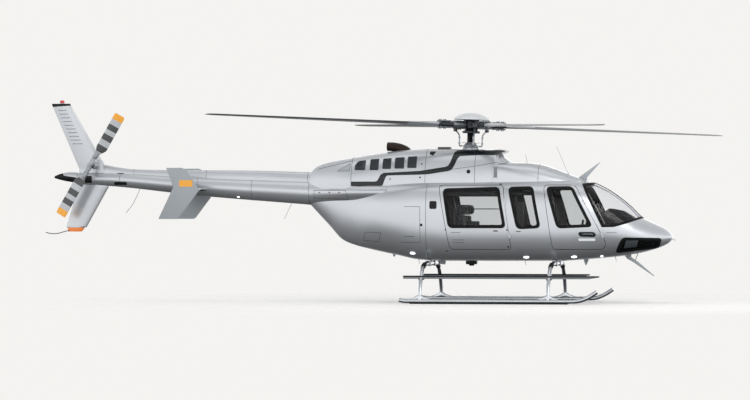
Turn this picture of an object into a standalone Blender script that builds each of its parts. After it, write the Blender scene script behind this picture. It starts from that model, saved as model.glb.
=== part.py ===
"""Light single-engine helicopter with a four-blade main rotor, standing on its skid gear.

Metres. +X runs to the nose, +Y to port and +Z up. The ground is at Z = 0.
"""

import math

import bmesh
import bpy
from mathutils import Matrix, Vector

# Driving dimensions

SEAT_GAP = 0.0003        # between pieces that touch
DOOR_GAP = 0.008         # round every hinged door
WALL = 0.045             # thickness of a door or of the cabin's side
REAR_WALL = 0.030
BOOM_WALL = 0.012
FLOOR_TOP = 0.86
CABIN_REAR = 1.00        # face between the cabin and the rear fuselage
NOSE_JOIN = 4.07
HULL_REAR = -1.10
HULL_TIP = 5.08
RING_POINTS = 22

# Each table gives a value of the body's cross-section along X.
HULL_TOP = [
    (-1.10, 2.07), (-0.5, 2.06), (3.50, 2.06), (3.71, 2.035), (3.94, 1.94), (4.16, 1.80),
    (4.38, 1.625), (4.56, 1.45), (4.71, 1.37), (4.88, 1.29), (4.98, 1.235), (5.05, 1.17), (5.08, 1.13),
]
HULL_BOTTOM = [
    (-1.10, 1.65), (-0.80, 1.33), (-0.53, 1.05), (-0.32, 0.965), (-0.09, 0.905), (0.39, 0.80),
    (0.84, 0.715), (1.30, 0.70), (3.17, 0.705), (3.63, 0.73), (4.25, 0.79), (4.58, 0.85),
    (4.88, 0.94), (5.00, 1.00), (5.06, 1.055), (5.08, 1.085),
]
HULL_MIDDLE = [
    (-1.10, 1.86), (-0.5, 1.62), (0.0, 1.50), (0.9, 1.40), (1.5, 1.36), (3.6, 1.36),
    (4.2, 1.23), (4.6, 1.13), (4.9, 1.10), (5.08, 1.108),
]
HULL_WIDTH = [
    (-1.10, 0.125), (-0.7, 0.235), (-0.3, 0.375), (0.0, 0.535), (0.2, 0.61), (0.7, 0.71), (1.2, 0.75),
    (2.0, 0.76),
    (3.0, 0.755), (3.5, 0.73), (3.9, 0.675), (4.3, 0.575), (4.6, 0.46), (4.85, 0.32), (5.0, 0.19),
    (5.06, 0.105), (5.08, 0.045),
]
HULL_UPPER_POWER = [
    (-1.10, 2.0), (-0.5, 2.4), (0.2, 3.0), (1.0, 3.8), (3.4, 3.8), (3.9, 2.8), (4.5, 2.2), (5.08, 2.0),
]
HULL_LOWER_POWER = [(-1.10, 2.0), (0.0, 2.2), (1.0, 2.8), (1.5, 3.0), (3.4, 3.0), (4.0, 2.6), (5.08, 2.0)]
REAR_STATIONS = [-1.10, -0.80, -0.53, -0.32, -0.09, 0.30, 0.70]
# The shoulder carries the boom's round section forward over the narrower rear of the body.
SHOULDER_MIDDLE = 1.862
SHOULDER_HEIGHT = 0.209
SHOULDER_WIDTH = [(-1.10, 0.212), (-0.7, 0.325), (-0.3, 0.465), (0.0, 0.535), (0.30, 0.560)]
SHOULDER_STATIONS = (HULL_REAR, -0.90, -0.70, -0.50, -0.30, -0.10, 0.05, 0.30)
SHOULDER_POINTS = 28
CABIN_STATIONS = [1.30, 2.10, 3.00, 3.42, 3.66, 3.86]
NOSE_STATIONS = [4.07, 4.28, 4.46, 4.60, 4.76, 4.90, 4.99, 5.05]

# Cowlings on top of the body
COWL_BASE = 1.92
COWL_WALL = 0.018
COWL_POWER = 2.6
COWL_TOP = [
    (-1.10, 2.21), (-1.00, 2.30), (-0.80, 2.375), (-0.39, 2.45), (-0.02, 2.51), (0.58, 2.585),
    (1.00, 2.60), (2.12, 2.588), (2.16, 2.54), (2.20, 2.44), (2.24, 2.33),
]
# Each row of the lip over the cowl's front gives its place along X, top, half-width and base.
LIP_ROWS = [
    (1.95, 2.587, 0.33, 2.52), (2.12, 2.590, 0.31, 2.50), (2.21, 2.584, 0.275, 2.525),
    (2.28, 2.566, 0.225, 2.552),
]
COWL_WIDTH = [
    (-1.10, 0.15), (-0.90, 0.25), (-0.33, 0.42), (0.2, 0.47), (0.9, 0.50), (1.8, 0.49), (2.24, 0.45),
]
AFT_JOIN = -0.33
ENGINE_JOIN = 0.95
COWL_FRONT = 2.24
COWL_SPACE = (-0.95, 2.08)
GRILLES = [
    (-0.275, -0.085, 2.235, 2.405), (-0.010, 0.145, 2.235, 2.430), (0.210, 0.360, 2.255, 2.440),
    (0.420, 0.585, 2.260, 2.455), (0.640, 0.800, 2.270, 2.470),
]
GRILLE_SLOTS = 3
GRILLE_BAR = 0.012

HUMP_TOP = [
    (2.20, 2.365), (2.64, 2.36), (2.85, 2.335), (3.10, 2.26), (3.35, 2.165), (3.53, 2.10), (3.68, 2.05),
    (3.72, 2.03),
]
HUMP_STATIONS = (2.20, 2.64, 2.90, 3.20, 3.50, 3.64, 3.72)
HUMP_WIDTH = [(2.20, 0.46), (2.64, 0.44), (3.10, 0.38), (3.50, 0.28), (3.72, 0.16)]

# Tail
BOOM_REAR = -5.18
BOOM_RADIUS = [(-5.18, 0.098), (-4.70, 0.115), (-3.0, 0.162), (-1.10, 0.212)]
BOOM_MIDDLE = [(-5.18, 2.105), (-4.70, 2.095), (-3.0, 1.965), (-1.10, 1.862)]
SPINE_TOP = [(-4.72, 2.345), (-4.45, 2.295), (-4.2, 2.265), (-3.6, 2.25), (-2.16, 2.24), (-1.1007, 2.21)]
SPINE_WIDTH = [(-4.72, 0.062), (-3.0, 0.080), (-1.1007, 0.115)]
# Each row of a fin gives height, leading edge, trailing edge and thickness.
FIN_UPPER = [
    (2.10, -4.61, -5.17, 0.078), (2.27, -4.67, -5.16, 0.075), (2.77, -4.965, -5.38, 0.062),
    (3.36, -5.31, -5.64, 0.050), (3.395, -5.325, -5.65, 0.042),
]
FIN_LOWER = [
    (1.23, -5.085, -5.36, 0.040), (1.262, -5.065, -5.375, 0.044), (1.27, -5.03, -5.39, 0.047),
    (1.96, -4.64, -5.18, 0.072), (2.09, -4.62, -5.17, 0.073),
]
BEACON_X = -5.50
ENDPLATE_Y = 0.66
ENDPLATE = [
    (-3.475, 2.28), (-3.20, 2.28), (-3.11, 2.235), (-2.90, 1.90), (-3.25, 1.44), (-3.29, 1.41), (-3.61, 1.41),
    (-3.35, 1.95),
]
ENDPLATE_THICK = 0.024
STABILISER_CHORD = (-3.35, -2.88)
STABILISER_Z = 1.915
STABILISER_THICK = 0.055

# Rotors
HUB = Vector((1.665, 0.0, 3.00))
MAST_TILT = math.radians(2.0)
MAIN_RADIUS = 4.80
MAIN_CHORD = 0.255
BLADE_ROOT = 0.62
MAIN_REST = math.radians(34.0)
MAIN_BLADES = 4
TAIL_HUB = Vector((-4.88, -0.35, 2.33))
TAIL_RADIUS = 1.0
TAIL_CHORD = 0.19
TAIL_REST = math.radians(60.0)
TRANSMISSION_TOP = 2.50

# Skid gear
SKID_Y = 1.17
TUBE_RADIUS = 0.036
TUBE_Z = 0.047
SKID_PATH = [(0.63, 0.062), (0.72, TUBE_Z), (3.52, TUBE_Z), (3.66, 0.064), (3.80, 0.12), (3.94, 0.21)]
LEG_RADIUS = 0.034
LEG_X = (0.97, 3.12)
LEG_PATH = [
    (1.168, 0.056), (1.145, 0.180), (1.100, 0.300), (1.035, 0.410), (0.940, 0.520), (0.820, 0.600),
    (0.660, 0.648), (0.450, 0.664),
]
FOOT_HALF = 0.17
FOOT_RISE = 0.09
FOOT_BASE = 0.070
FOOT_EDGE = 0.022
FOOT_THICK = 0.010
FOOT_STEPS = 4
LEG_SOCKET = (1.168, 0.0552)
CLAMP_Y = (0.22, 0.30)
CLAMP_HALF = 0.045
CLAMP_Z = (0.645, 0.78)
STEP_Y = 0.985
STEP_Z = (0.415, 0.465)
STEP_FRONT = {"right": 3.96, "left": 3.56}

# Doors: corners (x, z, rear draft, low draft) on the skin, from the rear top corner forwards
DOORS = {
    "aft": {
        "outline": [
            (1.205, 1.985, 1, 0), (2.300, 1.985, 0, 0), (2.448, 0.900, -0.15, 2.6), (1.400, 0.900, 1, 0.5),
        ],
        "window": [(1.300, 1.905), (2.220, 1.930), (2.335, 1.280), (1.400, 1.280)],
        "axis": ((2.448, 0.900), (2.300, 1.985)),
        "draft": 0.30,
    },
    "middle": {
        "outline": [
            (2.334, 1.985, 1, 0), (2.940, 1.985, 0, 0), (3.100, 0.900, -0.08, 2.6), (2.482, 0.900, 1, 0.9),
        ],
        "window": [(2.405, 1.930), (2.790, 1.940), (2.920, 1.280), (2.555, 1.262)],
        "axis": ((3.100, 0.900), (2.940, 1.985)),
        "draft": 0.62,
    },
    "crew": {
        "outline": [
            (2.974, 1.985, 1, 0), (3.470, 1.985, 0, 0), (3.545, 1.930, 0, 0), (4.028, 1.020, -1.5, 8.0),
            (3.985, 0.900, -1.5, 8.0), (3.740, 0.900, -0.2, 5.5), (3.134, 0.900, 1, 2.0),
        ],
        "window": [(3.045, 1.935), (3.455, 1.940), (3.780, 1.300), (3.230, 1.275)],
        "axis": ((4.028, 1.020), (3.545, 1.930)),
        "draft": 0.36,
    },
}
LOW_DRAFT = 0.13
EDGE_STEP = 0.36
AXIS_OUT = {"aft": 0.774, "middle": 0.772, "crew": 0.702}
DOOR_INNER_Y = {"aft": 0.49, "middle": 0.49, "crew": 0.42}
HINGE_Z = (1.14, 1.70)
KNUCKLE_RADIUS = 0.009
KNUCKLE_LENGTH = 0.045
LUG_REACH = 0.026
LUG_WIDTH = 0.014
WINDSHIELD = [
    (3.62, 2.000), (3.76, 2.022), (3.90, 2.30), (4.80, 1.60), (4.60, 1.437), (4.36, 1.345), (4.16, 1.288),
    (3.962, 1.283),
]
NOSE_REGION = [
    (NOSE_JOIN, 0.40), (5.40, 0.40), (5.40, 1.56), (4.66, 1.56), (4.60, 1.418), (4.36, 1.326), (4.16, 1.269),
    (NOSE_JOIN, 1.266),
]
CHIN_WINDOW = [(4.30, 1.085), (4.90, 1.075), (4.85, 0.945), (4.19, 0.865)]
POST_HALF = 0.03
PANE_OUT = 0.004
PANE_IN = 0.012
PANE_FIRST = 1.05
PANE_LAST = 4.80
WINDOW_RADIUS = 0.07
CHIN_RADIUS = 0.05
CHIN_INNER_Y = 0.10
CORNER_RADIUS = 0.075
INSIDE = 0.40            # half-widths that a cutting block runs between, through the cabin's side
OUTSIDE = 0.95

scene = bpy.context.scene
for old in list(bpy.data.objects):
    bpy.data.objects.remove(old, do_unlink=True)
PARTS = bpy.data.collections.new("helicopter")
CUTTERS = bpy.data.collections.new("cutters")
scene.collection.children.link(PARTS)
scene.collection.children.link(CUTTERS)


# Materials

def material(name, colour, roughness, metallic):
    made = bpy.data.materials.new(name)
    made.use_nodes = True
    shader = made.node_tree.nodes["Principled BSDF"]
    shader.inputs["Base Color"].default_value = (*colour, 1.0)
    shader.inputs["Roughness"].default_value = roughness
    shader.inputs["Metallic"].default_value = metallic
    return made


FINISH = {
    "silver_paint": material("silver_paint", (0.52, 0.53, 0.55), 0.30, 0.6),
    "dark_paint": material("dark_paint", (0.03, 0.032, 0.035), 0.45, 0.1),
    "glass": material("glass", (0.05, 0.055, 0.06), 0.05, 0.0),
    "steel": material("steel", (0.55, 0.56, 0.58), 0.30, 1.0),
    "fabric": material("fabric", (0.06, 0.065, 0.075), 0.85, 0.0),
    "blade_grey": material("blade_grey", (0.11, 0.115, 0.12), 0.50, 0.1),
    "pale_grey": material("pale_grey", (0.55, 0.56, 0.57), 0.45, 0.1),
    "red_lens": material("red_lens", (0.60, 0.02, 0.02), 0.15, 0.0),
}


# Shape helpers

def smooth(table, x):
    """A monotone cubic through the table's points, so a bulge never overshoots them."""
    xs = [p[0] for p in table]
    ys = [p[1] for p in table]
    if x <= xs[0]:
        return ys[0]
    if x >= xs[-1]:
        return ys[-1]
    slopes = [(ys[i + 1] - ys[i]) / (xs[i + 1] - xs[i]) for i in range(len(xs) - 1)]

    def tangent(i):
        if i == 0 or i == len(xs) - 1:
            return slopes[0] if i == 0 else slopes[-1]
        before, after = slopes[i - 1], slopes[i]
        return 0.0 if before * after <= 0 else 2 * before * after / (before + after)

    i = next(k for k in range(len(xs) - 1) if xs[k] <= x <= xs[k + 1])
    span = xs[i + 1] - xs[i]
    t = (x - xs[i]) / span
    return (
        (1 + 2 * t) * (1 - t) ** 2 * ys[i]
        + t * (1 - t) ** 2 * span * tangent(i)
        + t * t * (3 - 2 * t) * ys[i + 1]
        + t * t * (t - 1) * span * tangent(i + 1)
    )


def power(value, exponent):
    return math.copysign(abs(value) ** exponent, value)


def hull_ring(x, inset=0.0):
    """The body's cross-section at x, drawn in by inset."""
    middle = smooth(HULL_MIDDLE, x)
    width = smooth(HULL_WIDTH, x) - inset
    above = smooth(HULL_TOP, x) - inset - middle
    below = middle - smooth(HULL_BOTTOM, x) - inset
    upper = 2 / smooth(HULL_UPPER_POWER, x)
    lower = 2 / smooth(HULL_LOWER_POWER, x)
    ring = []
    for i in range(RING_POINTS):
        angle = 2 * math.pi * (i + 0.5) / RING_POINTS
        rise = math.sin(angle)
        exponent, height = (upper, above) if rise > 0 else (lower, below)
        z = middle + height * power(rise, exponent)
        ring.append(Vector((x, width * power(math.cos(angle), exponent), z)))
    return ring


def skin_y(x, z):
    """How far out the body's skin is at x and z."""
    middle = smooth(HULL_MIDDLE, x)
    if z > middle:
        n, height = smooth(HULL_UPPER_POWER, x), smooth(HULL_TOP, x) - middle
    else:
        n, height = smooth(HULL_LOWER_POWER, x), middle - smooth(HULL_BOTTOM, x)
    part = min(abs(z - middle) / height, 1.0)
    return smooth(HULL_WIDTH, x) * (1 - part**n) ** (1 / n)


def link(obj, collection, finish=None):
    collection.objects.link(obj)
    if finish:
        obj.data.materials.append(FINISH[finish])
    if collection is CUTTERS:
        obj.hide_render = True
        obj.display_type = "WIRE"
    return obj


def from_bmesh(name, bm, finish=None, smooth_angle=35.0):
    bmesh.ops.recalc_face_normals(bm, faces=bm.faces)
    mesh = bpy.data.meshes.new(name)
    bm.to_mesh(mesh)
    bm.free()
    if smooth_angle:
        mesh.shade_smooth()
        mesh.set_sharp_from_angle(angle=math.radians(smooth_angle))
    return link(bpy.data.objects.new(name, mesh), PARTS if finish else CUTTERS, finish)


def skin_faces(bm, rings, closed_ring=True):
    """Triangle pairs between each ring of points and the next, all split the same way."""
    rows = [[bm.verts.new(p) for p in ring] for ring in rings]
    for low, high in zip(rows, rows[1:]):
        count = len(low)
        for i in range(count if closed_ring else count - 1):
            j = (i + 1) % count
            bm.faces.new((low[i], low[j], high[j]))
            bm.faces.new((low[i], high[j], high[i]))
    return rows


def loft(name, rings, finish=None, smooth_angle=35.0):
    """A solid through unlike sections, with its two ends filled."""
    bm = bmesh.new()
    rows = skin_faces(bm, rings)
    bm.faces.new(rows[0])
    bm.faces.new(rows[-1])
    return from_bmesh(name, bm, finish, smooth_angle)


def sleeve(name, outer, inner, finish=None):
    """A wall between an outer and an inner run of sections, open at both ends."""
    bm = bmesh.new()
    out_rows = skin_faces(bm, outer)
    in_rows = skin_faces(bm, inner)
    for out_row, in_row in ((out_rows[0], in_rows[0]), (out_rows[-1], in_rows[-1])):
        count = len(out_row)
        for i in range(count):
            j = (i + 1) % count
            bm.faces.new((out_row[i], out_row[j], in_row[j], in_row[i]))
    return from_bmesh(name, bm, finish)


def box(name, low, high, finish=None, bevel=0.0):
    bm = bmesh.new()
    size = Vector(high) - Vector(low)
    place = Matrix.Translation((Vector(low) + Vector(high)) / 2) @ Matrix.Diagonal((*size, 1.0))
    bmesh.ops.create_cube(bm, size=1.0, matrix=place)
    obj = from_bmesh(name, bm, finish, 0)
    if bevel:
        round_edges(obj, bevel)
    return obj


def round_edges(obj, width, segments=2):
    bevel = obj.modifiers.new("round_edges", "BEVEL")
    bevel.width = width
    bevel.segments = segments
    bevel.limit_method = "ANGLE"


def boolean(obj, other, operation="DIFFERENCE", solver="EXACT"):
    cut = obj.modifiers.new(operation.lower(), "BOOLEAN")
    cut.operation = operation
    cut.solver = solver
    cut.object = other


def cut_each(obj, *cutters):
    """Cuts along long shallow seams, where the exact solver leaves slivers."""
    for cutter in cutters:
        boolean(obj, cutter, solver="MANIFOLD")


def offset(points, inward):
    """The outline's corners moved inwards, each along its two edges' normals; further values are kept."""
    flat = [Vector(p[:2]) for p in points]
    count = len(flat)
    area = sum(flat[i].cross(flat[(i + 1) % count]) for i in range(count))
    turn = 1 if area > 0 else -1
    moved = []
    for i, here in enumerate(flat):
        before = (here - flat[i - 1]).normalized()
        after = (flat[(i + 1) % count] - here).normalized()
        n1 = Vector((-before.y, before.x)) * turn
        n2 = Vector((-after.y, after.x)) * turn
        shift = (n1 + n2) / (1 + n1.dot(n2)) * inward
        moved.append((here.x + shift.x, here.y + shift.y, *points[i][2:]))
    return moved


def rounded(points, radius, steps=3):
    """The outline with each corner turned by a short curve."""
    count = len(points)
    result = []
    for i, here in enumerate(points):
        here = Vector(here)
        ends = []
        for other in (Vector(points[i - 1]), Vector(points[(i + 1) % count])):
            away = other - here
            reach = min(radius, (away.xy.length if len(away) > 2 else away.length) * 0.45)
            ends.append(here + away * (reach / (away.xy.length if len(away) > 2 else away.length)))
        for k in range(steps + 1):
            t = k / steps
            result.append(ends[0] * (1 - t) ** 2 + here * 2 * t * (1 - t) + ends[1] * t * t)
    return result


def prism(name, outline, near, far, finish=None):
    """A straight block from an outline in X and Z, between two values of Y."""
    rings = [[Vector((p[0], y, p[1])) for p in outline] for y in (near, far)]
    return loft(name, rings, finish, 0)


def divided(outline, longest):
    """The outline with points added along its long edges."""
    result = []
    for i, here in enumerate(outline):
        following = outline[(i + 1) % len(outline)]
        pieces = math.ceil((following - here).xy.length / longest)
        result += [here.lerp(following, k / pieces) for k in range(pieces)]
    return result


def door_prism(name, kind, side, inward, draft):
    """The door's block: its edges lean inwards with depth, so that it swings free of its frame."""
    corners = offset(DOORS[kind]["outline"], inward)
    outline = divided(rounded([Vector(p) for p in corners], CORNER_RADIUS - inward), EDGE_STEP)
    rings = []
    inner_y = DOOR_INNER_Y[kind] + (inward if inward > 0.001 else 0.0)
    for y in (inner_y, OUTSIDE):
        ring = []
        for x, z, rear, low in outline:
            depth = skin_y(x, z) - y
            ring.append(Vector((x + rear * draft * depth, side * y, z + low * LOW_DRAFT * depth)))
        rings.append(ring)
    return loft(name, rings, None, 0)


def tube(name, points, radius, finish=None, smooth_path=True, sides=3):
    """A round rod along a path: a bevelled curve with filled caps, made a mesh."""
    curve = bpy.data.curves.new(name, "CURVE")
    curve.dimensions = "3D"
    curve.bevel_depth = radius
    curve.bevel_resolution = sides
    curve.use_fill_caps = True
    route = [Vector(p) for p in points]
    if smooth_path:
        route = through(route)
    spline = curve.splines.new("POLY")
    spline.points.add(len(route) - 1)
    for point, place in zip(spline.points, route):
        point.co = (*place, 1.0)
    helper = bpy.data.objects.new(name + "_path", curve)
    scene.collection.objects.link(helper)
    bpy.context.view_layer.update()
    graph = bpy.context.evaluated_depsgraph_get()
    mesh = bpy.data.meshes.new_from_object(helper.evaluated_get(graph))
    bm = bmesh.new()
    bm.from_mesh(mesh)
    bmesh.ops.remove_doubles(bm, verts=bm.verts, dist=0.00005)
    bpy.data.objects.remove(helper, do_unlink=True)
    bpy.data.meshes.remove(mesh)
    bpy.data.curves.remove(curve)
    return from_bmesh(name, bm, finish)


def through(points, between=2):
    """Points on a smooth curve through the given ones."""
    count = len(points)
    path = [points[0]]
    for i in range(count - 1):
        p0 = points[max(i - 1, 0)]
        p1, p2 = points[i], points[i + 1]
        p3 = points[min(i + 2, count - 1)]
        straight = (p2 - p1).length > 0.8
        steps = 1 if straight else between
        for k in range(1, steps + 1):
            t = k / steps
            path.append(
                0.5 * ((2 * p1) + (p2 - p0) * t + (2 * p0 - 5 * p1 + 4 * p2 - p3) * t * t
                       + (3 * p1 - p0 - 3 * p2 + p3) * t**3)
                if not straight else p1.lerp(p2, t)
            )
    return path


def turned(name, profile, finish=None, steps=24, parent=None):
    """A profile of (radius, height), run down its outer side, turned about local Z."""
    mesh = bpy.data.meshes.new(name)
    closed = profile[0][0] > 1e-6 or profile[-1][0] > 1e-6
    count = len(profile)
    edges = [(i, i + 1) for i in range(count - 1)]
    if closed:
        edges.append((count - 1, 0))
    mesh.from_pydata([(r, 0.0, z) for r, z in profile], edges, [])
    obj = link(bpy.data.objects.new(name, mesh), PARTS if finish else CUTTERS, finish)
    screw = obj.modifiers.new("turn", "SCREW")
    screw.axis = "Z"
    screw.steps = steps
    screw.render_steps = steps
    screw.use_merge_vertices = True
    screw.merge_threshold = 0.0001
    obj.parent = parent
    return obj


def empty(name, place, rotation=(0.0, 0.0, 0.0)):
    obj = bpy.data.objects.new(name, None)
    obj.location = place
    obj.rotation_euler = rotation
    PARTS.objects.link(obj)
    bpy.context.view_layer.update()
    return obj


def hang_on(obj, parent):
    """Parents a piece that was modelled in place."""
    obj.parent = parent
    obj.matrix_parent_inverse = parent.matrix_world.inverted()


def aerofoil(chord, thickness, points=6, nose=0.30):
    """(along, across) points round a wing section, from the trailing edge over the top and back."""
    upper = []
    for i in range(points + 1):
        share = 0.5 * (1 + math.cos(math.pi * i / points))
        across = 5 * thickness * (
            0.2969 * math.sqrt(share) - 0.1260 * share - 0.3516 * share**2
            + 0.2843 * share**3 - 0.1036 * share**4
        )
        upper.append((share, across))
    lower = [(share, -across) for share, across in reversed(upper[1:-1])]
    ring = [(upper[0][0], 0.04 * thickness)] + upper[1:] + lower + [(upper[0][0], -0.04 * thickness)]
    return [((nose - share) * chord, across * chord) for share, across in ring]


# Body

def spread(first, last, stations):
    return [first] + [x for x in stations if first + 0.01 < x < last - 0.01] + [last]


ALL_STATIONS = REAR_STATIONS + [CABIN_REAR] + CABIN_STATIONS + NOSE_STATIONS + [HULL_TIP]


def hull_rings(first, last, inset=0.0):
    return [hull_ring(x, inset) for x in spread(first, last, ALL_STATIONS)]


hull_solid = loft("hull_solid", hull_rings(HULL_REAR - 0.02, HULL_TIP, -0.0004))
cavity = loft("cabin_space", hull_rings(CABIN_REAR + WALL, 4.86, WALL))
boolean(cavity, box("floor_slab", (0.5, -1.0, 0.5), (5.2, 1.0, FLOOR_TOP)))
nose_region = prism("nose_region", NOSE_REGION, -1.0, 1.0)
nose_region_gap = prism("nose_region_gap", offset(NOSE_REGION, -SEAT_GAP), -1.0, 1.0)


def cylinder_between(name, low, high, radius, sides=10, finish=None):
    bm = bmesh.new()
    low, high = Vector(low), Vector(high)
    run = high - low
    place = Matrix.Translation((low + high) / 2) @ run.to_track_quat("Z", "Y").to_matrix().to_4x4()
    bmesh.ops.create_cone(
        bm, cap_ends=True, segments=sides, radius1=radius, radius2=radius, depth=run.length, matrix=place
    )
    return from_bmesh(name, bm, finish)


def axis_point(kind, side, z):
    (x0, z0), (x1, z1) = DOORS[kind]["axis"]
    share = (z - z0) / (z1 - z0)
    return Vector((x0 + (x1 - x0) * share, side * AXIS_OUT[kind], z))


def knuckle(name, kind, side, z, toward):
    """Half a hinge: a barrel on the axis with the lug that joins it to the door (-1) or the frame (+1)."""
    start = axis_point(kind, side, z if toward < 0 else z - SEAT_GAP - 0.0002)
    along = (axis_point(kind, side, z + 1) - axis_point(kind, side, z)).normalized()
    end = start + along * KNUCKLE_LENGTH * (1 if toward < 0 else -1)
    depth = AXIS_OUT[kind] - skin_y(start.x, start.z) + WALL / 2
    outline = [
        (KNUCKLE_RADIUS * math.cos(math.pi * k / 4) * -toward, KNUCKLE_RADIUS * math.sin(math.pi * k / 4))
        for k in range(5)
    ]
    outline += [(toward * LUG_REACH, -depth), (toward * (LUG_REACH - LUG_WIDTH), -depth)]
    across = Vector((along.z, 0, -along.x))
    rings = [
        [point + across * dx + Vector((0, side * dy, 0)) for dx, dy in outline] for point in (start, end)
    ]
    return loft(name, rings, None, 0)


def hinge_line(kind, side):
    low = axis_point(kind, side, DOORS[kind]["axis"][0][1])
    return empty(f"{kind}_door_{'right' if side < 0 else 'left'}_hinge", low)


frame = loft("cabin_frame", hull_rings(CABIN_REAR + SEAT_GAP, 4.70), "silver_paint")
boolean(frame, cavity, solver="MANIFOLD")
boolean(frame, nose_region_gap, solver="MANIFOLD")

SIDES = {"right": -1, "left": 1}


def pane_skin(name, last=PANE_LAST):
    """A thin skin just inside the body's surface, from which a window pane is cut."""
    faces = [hull_rings(PANE_FIRST, last, inset) for inset in (PANE_OUT, PANE_IN)]
    return sleeve(name, *faces, "glass")


def across_wall(side):
    """From inside the cabin to outside it, on one side."""
    return side * INSIDE, side * OUTSIDE


for side_name, side in SIDES.items():
    for kind in DOORS:
        fixed = kind == "middle" and side_name == "right"
        draft = 0.0 if fixed else DOORS[kind]["draft"]
        opening = door_prism(f"{kind}_opening_{side_name}", kind, side, 0.0, draft)
        boolean(frame, opening, solver="MANIFOLD")
        piece_name = "side_panel_right" if fixed else f"{kind}_door_{side_name}"
        wall = hull_rings(PANE_FIRST, PANE_LAST), hull_rings(PANE_FIRST, PANE_LAST, WALL)
        piece = sleeve(piece_name, *wall, "silver_paint")
        block = door_prism(piece_name + "_block", kind, side, SEAT_GAP if fixed else DOOR_GAP, draft)
        boolean(piece, block, "INTERSECT")
        window = DOORS[kind]["window"]
        boolean(piece, prism(piece_name + "_hole", rounded(window, WINDOW_RADIUS), *across_wall(side)))
        pane = pane_skin(f"{kind}_window_{side_name}")
        pane_outline = rounded(offset(window, SEAT_GAP), WINDOW_RADIUS)
        pane_block = prism(f"{kind}_pane_block_{side_name}", pane_outline, *across_wall(side))
        boolean(pane, pane_block, "INTERSECT")
        if fixed:
            continue
        hinge = hinge_line(kind, side)
        hang_on(piece, hinge)
        hang_on(pane, hinge)
        for number, z in enumerate(HINGE_Z):
            boolean(piece, knuckle(f"{piece_name}_knuckle_{number}", kind, side, z, -1), "UNION")
            post = knuckle(f"{piece_name}_post_knuckle_{number}", kind, side, z, 1)
            boolean(frame, post, "UNION", "MANIFOLD")
    windshield_hole = prism(f"windshield_hole_{side_name}", WINDSHIELD, side * POST_HALF, side * OUTSIDE)
    boolean(frame, windshield_hole, solver="MANIFOLD")
    screen = pane_skin(f"windshield_{side_name}")
    screen_outline = offset(WINDSHIELD, SEAT_GAP)
    screen_from = side * (POST_HALF + SEAT_GAP)
    screen_block = prism(f"windshield_block_{side_name}", screen_outline, screen_from, side * OUTSIDE)
    boolean(screen, screen_block, "INTERSECT")

nose = loft("nose", hull_rings(NOSE_JOIN - 0.02, HULL_TIP), "silver_paint")
boolean(nose, nose_region, "INTERSECT")
boolean(nose, cavity)
for side_name, side in SIDES.items():
    chin_outline = rounded(CHIN_WINDOW, CHIN_RADIUS)
    boolean(nose, prism(f"chin_hole_{side_name}", chin_outline, side * CHIN_INNER_Y, side * OUTSIDE))
    chin_pane = pane_skin(f"chin_window_{side_name}", 4.98)
    chin_outline = rounded(offset(CHIN_WINDOW, SEAT_GAP), CHIN_RADIUS)
    chin_from = side * (CHIN_INNER_Y + SEAT_GAP)
    chin_block = prism(f"chin_block_{side_name}", chin_outline, chin_from, side * OUTSIDE)
    boolean(chin_pane, chin_block, "INTERSECT")


def shoulder_ring(x, grow=0.0):
    half = smooth(SHOULDER_WIDTH, x) + grow
    height = SHOULDER_HEIGHT + grow
    turns = [2 * math.pi * (k + 0.5) / SHOULDER_POINTS for k in range(SHOULDER_POINTS)]
    return [Vector((x, half * math.cos(t), SHOULDER_MIDDLE + height * math.sin(t))) for t in turns]


rear_fuselage = loft("rear_fuselage", hull_rings(HULL_REAR, CABIN_REAR), "silver_paint")
boolean(rear_fuselage, loft("shoulder", [shoulder_ring(x) for x in SHOULDER_STATIONS]), "UNION")
REAR_SPACE_STATIONS = (HULL_REAR - 0.02, -0.80, -0.32, 0.30, CABIN_REAR + 0.02)
boolean(rear_fuselage, loft("rear_space", [hull_ring(x, REAR_WALL) for x in REAR_SPACE_STATIONS]))
SHOULDER_SPACE_STATIONS = (HULL_REAR - 0.02, -0.70, -0.30, 0.05)
shoulder_space = loft("shoulder_space", [shoulder_ring(x, -REAR_WALL) for x in SHOULDER_SPACE_STATIONS])
boolean(rear_fuselage, shoulder_space)


# Cowlings

def arch(x, top, width, base, power_up=COWL_POWER, inset=0.0, points=14):
    """A cross-section that stands on a flat base, like a tunnel's."""
    ring = []
    for i in range(points + 1):
        angle = math.pi * i / points
        y = (width - inset) * power(math.cos(angle), 2 / power_up)
        z = base + (top - inset - base) * power(math.sin(angle), 2 / power_up)
        ring.append(Vector((x, y, z)))
    ring[0].z = base
    ring[-1].z = base
    return ring


COWL_STATIONS = [-1.00, -0.80, -0.33, 0.10, 0.55, 0.95, 1.60, 2.12, 2.16, 2.20]


def cowl_rings(first, last, inset=0.0, base=COWL_BASE):
    return [
        arch(x, smooth(COWL_TOP, x), smooth(COWL_WIDTH, x), base, inset=inset)
        for x in spread(first, last, COWL_STATIONS)
    ]


cowl_solid = loft("cowl_solid", cowl_rings(HULL_REAR, COWL_FRONT, -0.0004))
cowl_space = loft("cowl_space", cowl_rings(*COWL_SPACE, COWL_WALL, COWL_BASE - 0.05))

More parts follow.
